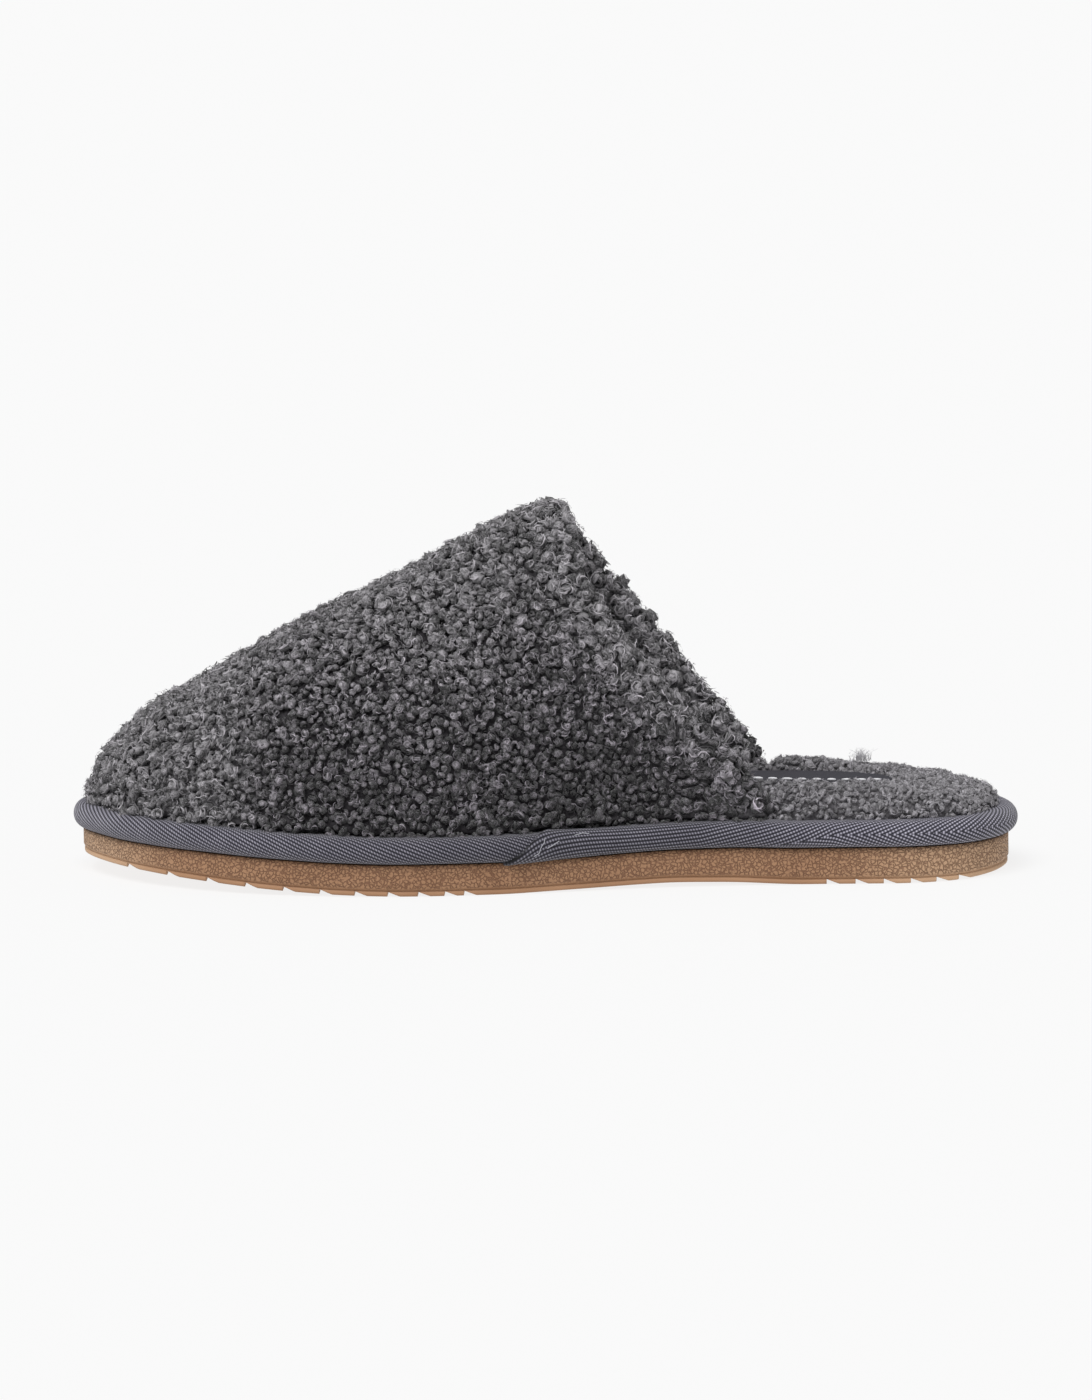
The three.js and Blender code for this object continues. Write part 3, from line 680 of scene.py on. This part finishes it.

# %% [markdown]
# Four numbers are stored for the pile. `girth` sizes the curls: smaller low on the sides,
# bigger at the rim. `cover` leaves them out where the upper is sewn in, and deep inside.
# The lining number makes the ground pale: the lining inside, and painted light at the rim and
# under the toe. `tone` is painted light and shade: darkest low at the throat, and pale at the
# toe, on the ridge and at the rim. It is stored halved, because ramps read from 0 to 1.

# %% Upper: sizes, cover and tones of its pile
toe_glow = ease(-x, 0.07, 0.1)
near_rim = np.exp(-np.maximum(to_collar, 0) / (9 * MM))
tight = (1 - ease(z, 0.035, 0.095)) * (1 - toe_glow) * ease(to_collar, 4 * MM, 12 * MM) * outside
full = 0.2 * ease(9 * MM - to_collar, 0, 7 * MM)
foot = (out[:, 2] < -0.88) & (over_tape < 1.2 * MM)
deep = ~outside & (x < -0.005)
# Painted light: the pile is paler at the toe and higher up the sides.
painted_light = 0.28 + 0.75 * toe_glow + (1 - toe_glow) * 0.74 * ease(z, 0.022, 0.1)
# Inside, painted shade: a darker band about 8 mm in from the collar's edge.
painted_light = np.where(outside, painted_light, 0.8 - 0.62 * np.exp(-((to_collar - 8 * MM) / (5 * MM)) ** 2))
# Painted shade: the outside is darker towards the back, over the throat.
painted_light *= 1 - 0.45 * ease(x, -0.03, 0.02) * outside
# Painted highlight along the collar's rolled rim.
painted_light += 0.56 * near_rim * (0.55 + 0.45 * ease(z, 0.028, 0.05))
# The lining number is 1 inside, for the pale lining; outside it paints light on the ground at the rim and the
# toe.
store(upper_mesh, girth=1 - 0.17 * tight + full + 0.1 * ~outside,
      cover=np.where(foot, 0.0, np.where(deep, 0.08, 1.0)),
      lining=np.where(outside, np.maximum(0.4 * near_rim, 0.3 * toe_glow), 1.0), tone=painted_light / 2)

# %% [markdown]
# ## Curls
# The pile is a teddy cloth: short locks wound into rings, hooks and knots of 2 to 3 mm, packed
# side by side, with dark gaps between. Ten small curls are modelled, five wound locks and
# five knots, all in millimetres over the skin. Each point also keeps where it lies along the
# wool's fibres, so that the fibres' pattern can follow the winding.

# %% Curl shapes: wound locks and knots
MIDDLE = 1.15  # how high a curl's middle stands over the skin

def tube(path, radii, sides=4):
    """A ragged tapering tube along a path, with its length and turn kept for the fibres."""
    points, marks, side, along = [], [], Vector((0.3, 1, 0.1)).normalized(), 0.0
    for i, (p, r) in enumerate(zip(path, radii)):
        side, other = across(path, i, side)
        along += (p - path[i - 1]).length if i else 0.0
        for k in range(sides):
            turn = tau * k / sides
            rough = 1 + 0.5 * noise.noise(p * 1.7 + Vector((k * 1.9, i * 0.7, r)))
            points.append((p + (side * cos(turn) + other * sin(turn)) * r * rough) * MM)
            marks.append((along, cos(turn), sin(turn)))
    faces = grid_faces(len(path), sides)
    faces += [tuple(range(sides))[::-1], tuple(range(len(points) - sides, len(points)))]
    return points, faces, marks

def wound(turns, wide, rise, tilt, thick):
    """A lock that winds round, rises and tapers at both ends."""
    spin = Matrix.Rotation(tilt, 3, "X")
    path, radii = [], []
    for s in np.linspace(0, 1, 5):
        turn = tau * turns * s
        ring = Vector((wide * cos(turn), wide * sin(turn), rise * (s - 0.5)))
        path.append(spin @ ring + Vector((0, 0, MIDDLE)))
        radii.append(thick * (0.55 + 0.45 * sin(pi * (0.1 + 0.8 * s))))
    return tube(path, radii)

def knot(wide, tall, seed, rings=4, sides=5):
    """A tight round knot of wool, its fibres wound round a leaning axis."""
    points, marks = [Vector((0, 0, MIDDLE - tall))], [(0, 0, 0)]
    lean = Matrix.Rotation(0.6 + 0.5 * seed, 3, "X") @ Matrix.Rotation(seed, 3, "Y")
    for r in range(1, rings):
        polar = pi * r / rings
        for k in range(sides):
            turn = tau * (k + 0.5 * (r % 2)) / sides
            way = Vector((sin(polar) * cos(turn), sin(polar) * sin(turn), -cos(polar)))
            size = 1 + 0.45 * noise.noise(way * 1.6 + Vector((seed * 3.1, 0, 0)))
            points.append(Vector((way.x * wide, way.y * wide, MIDDLE + way.z * tall)) * size)
            marks.append(tuple(lean @ way * 1.5))
    points.append(Vector((0, 0, MIDDLE + tall)))
    marks.append((0, 0, 1.5))
    last = len(points) - 1
    faces = [(0, 1 + (k + 1) % sides, 1 + k) for k in range(sides)]
    faces += [tuple(1 + i for i in f) for f in grid_faces(rings - 1, sides)]
    faces += [(last, last - sides + k, last - sides + (k + 1) % sides) for k in range(sides)]
    return [p * MM for p in points], faces, marks

# %% [markdown]
# Single fibres stand off every curl, so the pile's edge looks hairy. Each is a narrow strip
# that winds round the curl and dives or rises.

# %% Curl shapes: fibres
FIBRES, REACH = 5, 1.3
ANY_TURN = (0, 6.28)  # a random direction, in radians
FIBRE_WIDTHS, FIBRE_MIDDLE = (0.1, 0.11, 0.09, 0.02), Vector((0, 0, 1.05))

def add_fibres(shape, seed):
    points, faces, marks = (list(part) for part in shape)
    luck = np.random.default_rng(seed)
    for _ in range(FIBRES):
        turn, polar = luck.uniform(*ANY_TURN), luck.uniform(0.2, 1.5)
        wind = luck.choice([-1, 1]) * luck.uniform(0.5, 1.0)
        dive, out, grey = luck.uniform(-0.5, 0.3), luck.uniform(1.0, 1.25) * REACH, luck.uniform(0, 40)
        first = len(points)
        for i, wide in enumerate(FIBRE_WIDTHS):
            flat, steep = sin(polar), cos(polar)
            way = Vector((cos(turn) * flat, sin(turn) * flat, steep))
            up = Vector((-cos(turn) * steep, -sin(turn) * steep, flat))
            for edge in (-1, 1):
                points.append((way * out * (1 + 0.07 * i) + FIBRE_MIDDLE + up * wide * edge) * MM)
                marks.append((grey, 0.0, 0.0))
            turn, polar = turn + wind, abs(polar + dive)
        faces += [(first + i, first + i + 1, first + i + 3, first + i + 2) for i in (0, 2, 4)]
    return points, faces, marks

# %% The ten curls
CURLS = 10
curls = bpy.data.collections.new("curls")
scene.collection.children.link(curls)
for number in range(CURLS):
    share = number / (CURLS - 1)
    if number % 2:
        shape = knot(1.1 + 0.25 * share, 0.95 + 0.2 * share, number)
    else:
        shape = wound(0.72 + 0.35 * share, 0.75 - 0.25 * share, 0.5 + 0.8 * share,
                      (1.3, 0.5, 0.9)[number % 3], 0.66 + 0.12 * share)
    points, faces, marks = add_fibres(shape, number)
    mesh = mesh_from(f"curl_{number}", points, faces)
    mesh.polygons.foreach_set("use_smooth", [True] * len(faces))
    store(mesh, lift=[p.z / MM for p in points])
    lay = mesh.attributes.new("lay", "FLOAT_VECTOR", "POINT")
    lay.data.foreach_set("vector", np.array(marks, np.float32).ravel())
    curls.objects.link(bpy.data.objects.new(mesh.name, mesh))

# %% [markdown]
# Geometry Nodes scatter the curls over a skin at a least distance, each with its own turn,
# size, depth and grey. A tree has named inputs and ends as real geometry with its material.

# %% Helper: a Geometry Nodes tree
class Tree(Nodes):
    def __init__(self, name):
        super().__init__(bpy.data.node_groups.new(name, "GeometryNodeTree"))
        self.entry = self.tree.nodes.new("NodeGroupInput")
        self.exit = self.tree.nodes.new("NodeGroupOutput")
        self.names = {}

    def socket(self, name, kind, where="INPUT"):
        made = self.tree.interface.new_socket(name=name, in_out=where, socket_type="NodeSocket" + kind)
        self.names[name] = made.identifier
        return (self.entry.outputs if where == "INPUT" else self.exit.inputs)[name]

    def random(self, low, high, seed, kind="FLOAT"):
        made = self.add("FunctionNodeRandomValue", data_type=kind)
        want = {"FLOAT": "VALUE", "INT": "INT", "FLOAT_VECTOR": "VECTOR"}[kind]
        live = [s for s in made.inputs if s.type == want and s.name in ("Min", "Max")]
        live[0].default_value, live[1].default_value = low, high
        made.inputs["Seed"].default_value = seed
        return [s for s in made.outputs if s.type == want][0]

    def stored(self, name):
        return self.add("GeometryNodeInputNamedAttribute", {"Name": name}, data_type="FLOAT")

    def xyz(self, x, y, z):
        return self.add("ShaderNodeCombineXYZ", {0: x, 1: y, 2: z})

    def finish(self, instances, material, out):
        """Real geometry with its material, at the tree's end."""
        real = self.add("GeometryNodeRealizeInstances", {0: instances})
        self.feed(out, self.add("GeometryNodeSetMaterial", {"Geometry": real, "Material": material}))
        return self

# %% Tree that covers a skin with curls
def make_pile_tree():
    t = Tree("pile")
    skin = t.socket("Skin", "Geometry")
    shapes, material = t.socket("Shapes", "Collection"), t.socket("Material", "Material")
    spacing, size, flat, lean, start, end = (
        t.socket(name, "Float") for name in ("Spacing", "Size", "Flat", "Lean", "Start", "End"))
    out = t.socket("Pile", "Geometry", "OUTPUT")
    inputs = {"Mesh": skin, "Distance Min": spacing, "Density Max": 2500000.0,
              "Density Factor": t.stored("cover"), "Seed": 7}
    spread = t.add("GeometryNodeDistributePointsOnFaces", inputs, distribute_method="POISSON")
    x = t.add("ShaderNodeSeparateXYZ", {0: t.add("GeometryNodeInputPosition")})
    after = t.add("FunctionNodeCompare", {0: x, 1: start}, operation="GREATER_EQUAL")
    before = t.add("FunctionNodeCompare", {0: x, 1: end}, operation="LESS_THAN")
    band = t.add("FunctionNodeBooleanMath", {0: after, 1: before}, operation="AND")
    any_turn = t.random((-1, -1, -3.14), (1, 1, 3.14), 3, "FLOAT_VECTOR")
    tilt = t.add("FunctionNodeEulerToRotation", {0: t.vectors("MULTIPLY", any_turn, t.xyz(lean, lean, 1.0))})
    upright = spread.outputs["Rotation"]
    turn = t.add("FunctionNodeRotateRotation", {0: upright, 1: tilt}, rotation_space="LOCAL")
    own = t.product(t.stored("girth"), t.random(0.75, 1.2, 5))
    big = t.product(size, own)
    inputs = {"Collection": shapes, "Separate Children": True, "Reset Children": True}
    inputs = {"Points": spread, "Selection": band, "Pick Instance": True,
              "Instance": t.add("GeometryNodeCollectionInfo", inputs),
              "Instance Index": t.random(0, CURLS - 1, 11, "INT"), "Rotation": turn,
              "Scale": t.xyz(big, big, t.product(big, flat))}
    planted = t.add("GeometryNodeInstanceOnPoints", inputs)
    sunk = t.xyz(0.0, 0.0, t.random(-0.5 * MM, 0.5 * MM, 17))
    settled = t.add("GeometryNodeTranslateInstances", {"Instances": planted, "Translation": sunk})
    inputs = {"Geometry": settled, "Name": "shade", "Value": t.random(0.0, 1.0, 13)}
    shade = t.add("GeometryNodeStoreNamedAttribute", inputs, data_type="FLOAT", domain="INSTANCE")
    return t.finish(shade, material, out)

pile_tree = make_pile_tree()

# %% Helper: run a tree
def grow(name, skin_mesh, tree, settings):
    """Runs a tree on a skin and keeps the result as a plain mesh."""
    carrier = add_object(name + "_carrier", skin_mesh)
    modifier = carrier.modifiers.new(tree.tree.name, "NODES")
    modifier.node_group = tree.tree
    for key, value in settings.items():
        modifier[tree.names[key]] = value
    carrier.update_tag()
    mesh = bake(carrier)
    mesh.name = name
    return mesh

# %% [markdown]
# Wool is rough, and a little paler where light grazes it. Its greys come from fibres drawn
# out along each lock, in pale and dark streaks that are partly the wool's own and partly
# painted glints and painted shade. Each curl also has its own grey at random, `shade`. The
# root is nearly black, as painted shade, because little light gets there, and the tips are
# painted paler. `tone` carries the painted light and shade over the piece. Where it is low the
# contrast grows about one grey that stays as it is, and where it is high the fibres show soft,
# without the dark roots.

# %% Pile material
PIVOT = 0.21  # the grey that stays as it is

def make_pile(name, dark, light, root, middle):
    wool = Finish(name, 0.95, 0.05).give({"Sheen Weight": 0.35, "Sheen Roughness": 0.6})
    shade, tone = wool.stored("shade"), wool.stored("tone")
    drawn_out = wool.vectors("MULTIPLY", wool.stored("lay", "Vector"), (0.45, 1.6, 1.6))
    inputs = {"Vector": drawn_out, "W": wool.product(shade, 90.0), "Scale": 1.25, "Detail": 3.0,
              "Roughness": 0.6, "Distortion": 0.5}
    fibre = wool.add("ShaderNodeTexNoise", inputs, noise_dimensions="4D").outputs["Fac"]
    own_grey = wool.maths("MULTIPLY_ADD", shade, 0.16, -0.08)
    # Pale and dark streaks along the fibres: partly the wool's own, partly painted glints and painted shade.
    own = wool.ramp(wool.maths("MULTIPLY_ADD", fibre, 1.0, own_grey), [(0.38, dark), (0.61, light)])
    top = wool.rescale(wool.stored("lift"), 0.2, 2.1)
    rooted = wool.times(own, wool.greys(top, [(0.0, root), (0.5, middle), (1.0, 1.5)]))
    scaled, gamma = wool.times(rooted, (1 / PIVOT,) * 3), wool.rescale(tone, 0.12, 0.46, 2.2, 1.05)
    contrast = wool.add("ShaderNodeGamma", {0: scaled, 1: gamma})
    deepened = wool.times(contrast, (PIVOT,) * 3)
    softened = wool.mix(wool.rescale(tone, 0.44, 0.7, 0.0, 0.8), deepened, own)
    # The stored tone brightens or darkens the colour: painted light and shade.
    wool.give({"Base Color": wool.times(softened, wool.greys(tone, [(0.0, 0.0), (1.0, 2.0)]))})
    wool.bump(fibre, 1.6 * MM)
    return wool

upper_wool = make_pile("upper_pile", (0.015, 0.014, 0.0152), (0.344, 0.329, 0.349), 0.1, 0.48)
sock_wool = make_pile("sock_pile", (0.1, 0.095, 0.102), (0.36, 0.345, 0.37), 0.5, 0.8)

# %% [markdown]
# The knitted ground is coloured dark between the curls: painted shade in the gaps. Where the
# stored lining number is high it turns into lumpy short pile with darker hollows as painted
# shade: the lining deep inside, and painted light on the ground at the rim and under the pale
# toe.

# %% Ground material and the upper's skin
def make_backing(name, colour, lining):
    ground = Finish(name, 1.0, 0.0)
    spot = ground.spot()
    knit = ground.cloud(spot, 1200.0, 3.0)
    # Painted shade: the bare knit's dark colour stands for the shade between the curls.
    bare = ground.ramp(knit, [(0.35, tuple(c * 0.5 for c in colour)), (0.65, colour)])
    knots = ground.add("ShaderNodeTexVoronoi", {"Vector": spot, "Scale": 420.0}, feature="SMOOTH_F1")
    raised = ground.maths("SUBTRACT", 1.0, knots.outputs["Distance"])
    uneven = ground.product(raised, ground.maths("ADD", knit, 0.5))
    # Painted shade in the short pile's hollows between its knots.
    short_pile = ground.ramp(uneven, [(0.3, tuple(c * 0.25 for c in lining)), (0.75, lining)])
    ground.give({"Base Color": ground.mix(ground.stored("lining"), bare, short_pile)})
    ground.bump(ground.maths("MULTIPLY_ADD", raised, 2.5, knit), 0.6 * MM)
    return ground

# Both grounds' colours are painted shade between the curls: nearly black on the upper, grey on the sock.
painted_shade_ground = make_backing("pile_backing", (0.045, 0.042, 0.046), (0.52, 0.5, 0.53))
grey_ground = make_backing("sock_knit", (0.17, 0.163, 0.173), (0.5, 0.48, 0.51))
upper_backing = show("upper_backing", upper_mesh, painted_shade_ground, "upper_pile")
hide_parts("upper")

# %% [markdown]
# The curls are made in bands along the shoe, so that no piece grows too large.

# %% Upper: curls
def cover_with_curls(part, bands, skin, wool, **sizes):
    """A band starts at its x and ends where the next one starts."""
    for (band, start), (_, end) in zip(bands, bands[1:]):
        name = f"{part}_curls_{band}"
        settings = {"Shapes": curls, "Material": wool.material, "Start": start, "End": end, **sizes}
        show(name, grow(name, skin, pile_tree, settings), wool, part + "_pile")

bands = [("toe", -0.2), ("vamp", -0.085), ("instep", -0.045), ("throat", -0.01), ("collar", 0.022), ("", 0.1)]
cover_with_curls("upper", bands, upper_mesh, upper_wool, Spacing=1.6 * MM, Size=1.26, Flat=1.0, Lean=0.6)

# %% [markdown]
# ## Sock
# The sock is the same cloth, trodden a little flatter and paler. Its two sides stand up in low
# ridges, and beside the label the pile is drawn towards the toe.

# %% Sock: shape of the skin
sock_mesh = soft_skin("insole", 1.8 * MM)
at, out = vertex_points(sock_mesh), vertex_normals(sock_mesh)
x, y, z = at.T
over_tape = z - sole_top(x) - FIT - TAPE_HEIGHT
pile_part = ease(over_tape, -0.5 * MM, 0.8 * MM)
label_far = np.hypot((x - 0.07) / (35 * MM), y / (16 * MM))
in_recess = (label_far < 1.02) & (over_tape < 7.5 * MM)
drawn = np.where(in_recess, 0.2 * MM, 0.8 * MM) * pile_part
swell = (0.9 * MM * lumps(at, 8 * MM, 4) + 0.5 * MM * lumps(at, 4 * MM, 5)) * pile_part * (label_far > 1.05)
at += out * (swell - drawn)[:, None]
on_top = ease(over_tape, 1 * MM, 5 * MM)
near_ridge = ease(0.096 - x, 0, 0.03) * ease(-y, 0.013, 0.019) * on_top
far_ridge = ease(0.098 - x, 0, 0.025) * ease(y, 0.014, 0.022) * on_top
z += (2.2 + 1.4 * ease(0.078 - x, 0, 0.01)) * MM * far_ridge + 1.4 * MM * near_ridge
beside = ease(np.abs(y), 0.017, 0.024) * ease(x, 0.06, 0.072) * ease(0.108 - x, 0, 0.022)
x -= 6.5 * MM * beside
pressed = ease(2.5 * MM - over_tape, 0, 2 * MM) * (pile_part > 0.02)
at += (out * [1, 1, 0] - [0, 0, 0.4]) * (MM * pressed)[:, None]
move_to(sock_mesh, at)

# %% Sock: cover and tones of its pile, and its curls
bare = in_recess | (over_tape < 0.05 * MM)
# Painted light and shade: soft patches of paler and darker pile; the tone also rises towards the heel.
tone = (0.98 + 0.4 * ease(x, 0.06, 0.13)) * (1 + 0.3 * lumps(at, 4.5 * MM, 6))
store(sock_mesh, girth=np.ones(len(at)), lining=ease(-x, -0.01, 0.01),
      cover=np.where(bare, 0.0, ease(x, -0.04, 0.02)), tone=tone / 2)
sock_backing = show("sock_backing", sock_mesh, grey_ground, "sock_pile")
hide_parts("insole")
cover_with_curls("sock", [("fore", -0.2), ("heel", 0.085), ("", 0.2)], sock_mesh, sock_wool,
                 Spacing=1.08 * MM, Size=0.86, Flat=0.72, Lean=1.1)

# %% [markdown]
# ## Label
# A plain oval patch is sewn into a hollow in the sock: a thin cloth with a raised middle and
# a rounded edge.

# %% Label patch
LABEL_ROWS = [(0.0, 0.25)] + [(s, 0.25 * (1 - s * s)) for s in (0.2, 0.4, 0.6, 0.75, 0.88, 0.95)]
LABEL_ROWS += [(0.985, -0.08), (1.0, -0.35), (0.985, -0.7), (0.9, -0.8), (0.0, -0.8)]
low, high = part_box("sock_label")

def make_label(count=96):
    """Ovals from the middle to the edge and back below: a share of the size, and a height."""
    middle, long, wide = (low + high) / 2, (high.x - low.x) / 2, (high.y - low.y) / 2
    points = [(middle.x + long * s * cos(tau * k / count),
               middle.y + wide * s * sin(tau * k / count), high.z + lift * MM)
              for s, lift in LABEL_ROWS for k in range(count)]
    return mesh_from("label_patch", points, grid_faces(len(LABEL_ROWS), count))

cloth = Finish("label_cloth", 0.8, 0.15)
sides = cloth.add("ShaderNodeSeparateXYZ", {0: cloth.spot()}).outputs[:2]
warp, weft = (cloth.maths("SINE", cloth.product(side, tau / (0.7 * MM))) for side in sides)
weave = cloth.maths("MULTIPLY_ADD", cloth.product(warp, weft), 0.5, 0.5)
cloth.give({"Base Color": cloth.ramp(weave, [(0.0, (0.03, 0.03, 0.036)), (1.0, (0.075, 0.072, 0.085))])})
cloth.bump(weave, 0.12 * MM)
label_patch = show("label_patch", make_label(), cloth, "label_cloth")
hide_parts("sock_label")

# %% [markdown]
# A pale running stitch crosses the patch along a shallow arc. The stitches are one small
# rounded bar, repeated along the arc by a second Geometry Nodes tree.

# %% Label: running stitch
def make_stitch_tree():
    t = Tree("running_stitch")
    line = t.socket("Line", "Geometry")
    pitch, share, radius = (t.socket(name, "Float") for name in ("Pitch", "Share", "Radius"))
    material, out = t.socket("Material", "Material"), t.socket("Stitches", "Geometry", "OUTPUT")
    curve = t.add("GeometryNodeMeshToCurve", {"Mesh": line})
    spots = t.add("GeometryNodeCurveToPoints", {"Curve": curve, "Length": pitch}, mode="LENGTH")
    half = t.product(t.product(pitch, share), 0.5)
    lively = t.product(half, t.random(0.85, 1.1, 2))
    bar = t.add("GeometryNodeMeshUVSphere", {"Segments": 8, "Rings": 5, "Radius": 1.0})
    inputs = {"Points": spots, "Instance": bar, "Rotation": spots.outputs["Rotation"],
              "Scale": t.xyz(radius, radius, lively)}
    return t.finish(t.add("GeometryNodeInstanceOnPoints", inputs), material, out)

def stitch_line(count=60):
    """Shallow arc across the patch, on its surface."""
    start, length = low.x + 4 * MM, high.x - low.x - 9 * MM
    spots = [(start + length * s, (6.0 - 12.5 * s - 3.0 * sin(pi * s) ** 0.8) * MM,
              high.z + 0.55 * MM) for s in np.linspace(0, 1, count)]
    mesh = bpy.data.meshes.new("stitch_line")
    mesh.from_pydata(spots, [(i, i + 1) for i in range(count - 1)], [])
    return mesh

pale_stitch = Finish("pale_stitch", 0.6, 0.3).give({"Base Color": (0.72, 0.72, 0.74)})
settings = {"Pitch": 4.4 * MM, "Share": 0.72, "Radius": 0.42 * MM, "Material": pale_stitch.material}
show("label_stitches", grow("label_stitches", stitch_line(), make_stitch_tree(), settings), pale_stitch,
     "label_cloth")

# %% [markdown]
# One pinch of the sock's pile stands up where a lock has been pulled: a few long pale hairs.

# %% Sock: a pulled lock
HAIRS, HAIR_WIDTH = 90, 0.1

def make_wisp():
    """Hairs that rise from one spot, each a strip that leans, winds and thins out."""
    luck = np.random.default_rng(4)
    points, faces = [], []
    for _ in range(HAIRS):
        root = Vector((95.5 + luck.normal(0, 1.1), 21 + luck.normal(0, 1.1), 28.6)) * MM
        turn, high, bow = luck.uniform(*ANY_TURN), luck.uniform(1.8, 5.2), luck.normal(0, 1.2)
        lean, first, loops = Vector((cos(turn), sin(turn), 0)), len(points), luck.uniform(3, 8)
        for i, s in enumerate(np.linspace(0, 1, 8)):
            ring = Vector((cos(turn + loops * s), sin(turn + loops * s), 0)) * 0.75 * s
            spot = root + (lean * bow * s + ring + Vector((0, 0, high * s * (1.25 - 0.45 * s)))) * MM
            flat = Vector((cos(turn + 2 * s), 0.3, sin(turn + 2 * s))).normalized()
            wide = flat * HAIR_WIDTH * (1.15 - s) * MM
            points += [spot - wide, spot + wide]
            if i:
                faces.append((first + 2 * i - 2, first + 2 * i - 1, first + 2 * i + 1, first + 2 * i))
    return mesh_from("pulled_lock", points, faces)

lock_wool = Finish("lock_wool", 0.9, 0.1).give({"Base Color": (0.5, 0.49, 0.51)})
show("pulled_lock", make_wisp(), lock_wool, "sock_pile")

# %% [markdown]
# ## Finish
# The curls' patterns are no longer needed.

# %% Finish: clean up
for curl in list(curls.objects):
    bpy.data.objects.remove(curl)
bpy.data.collections.remove(curls)
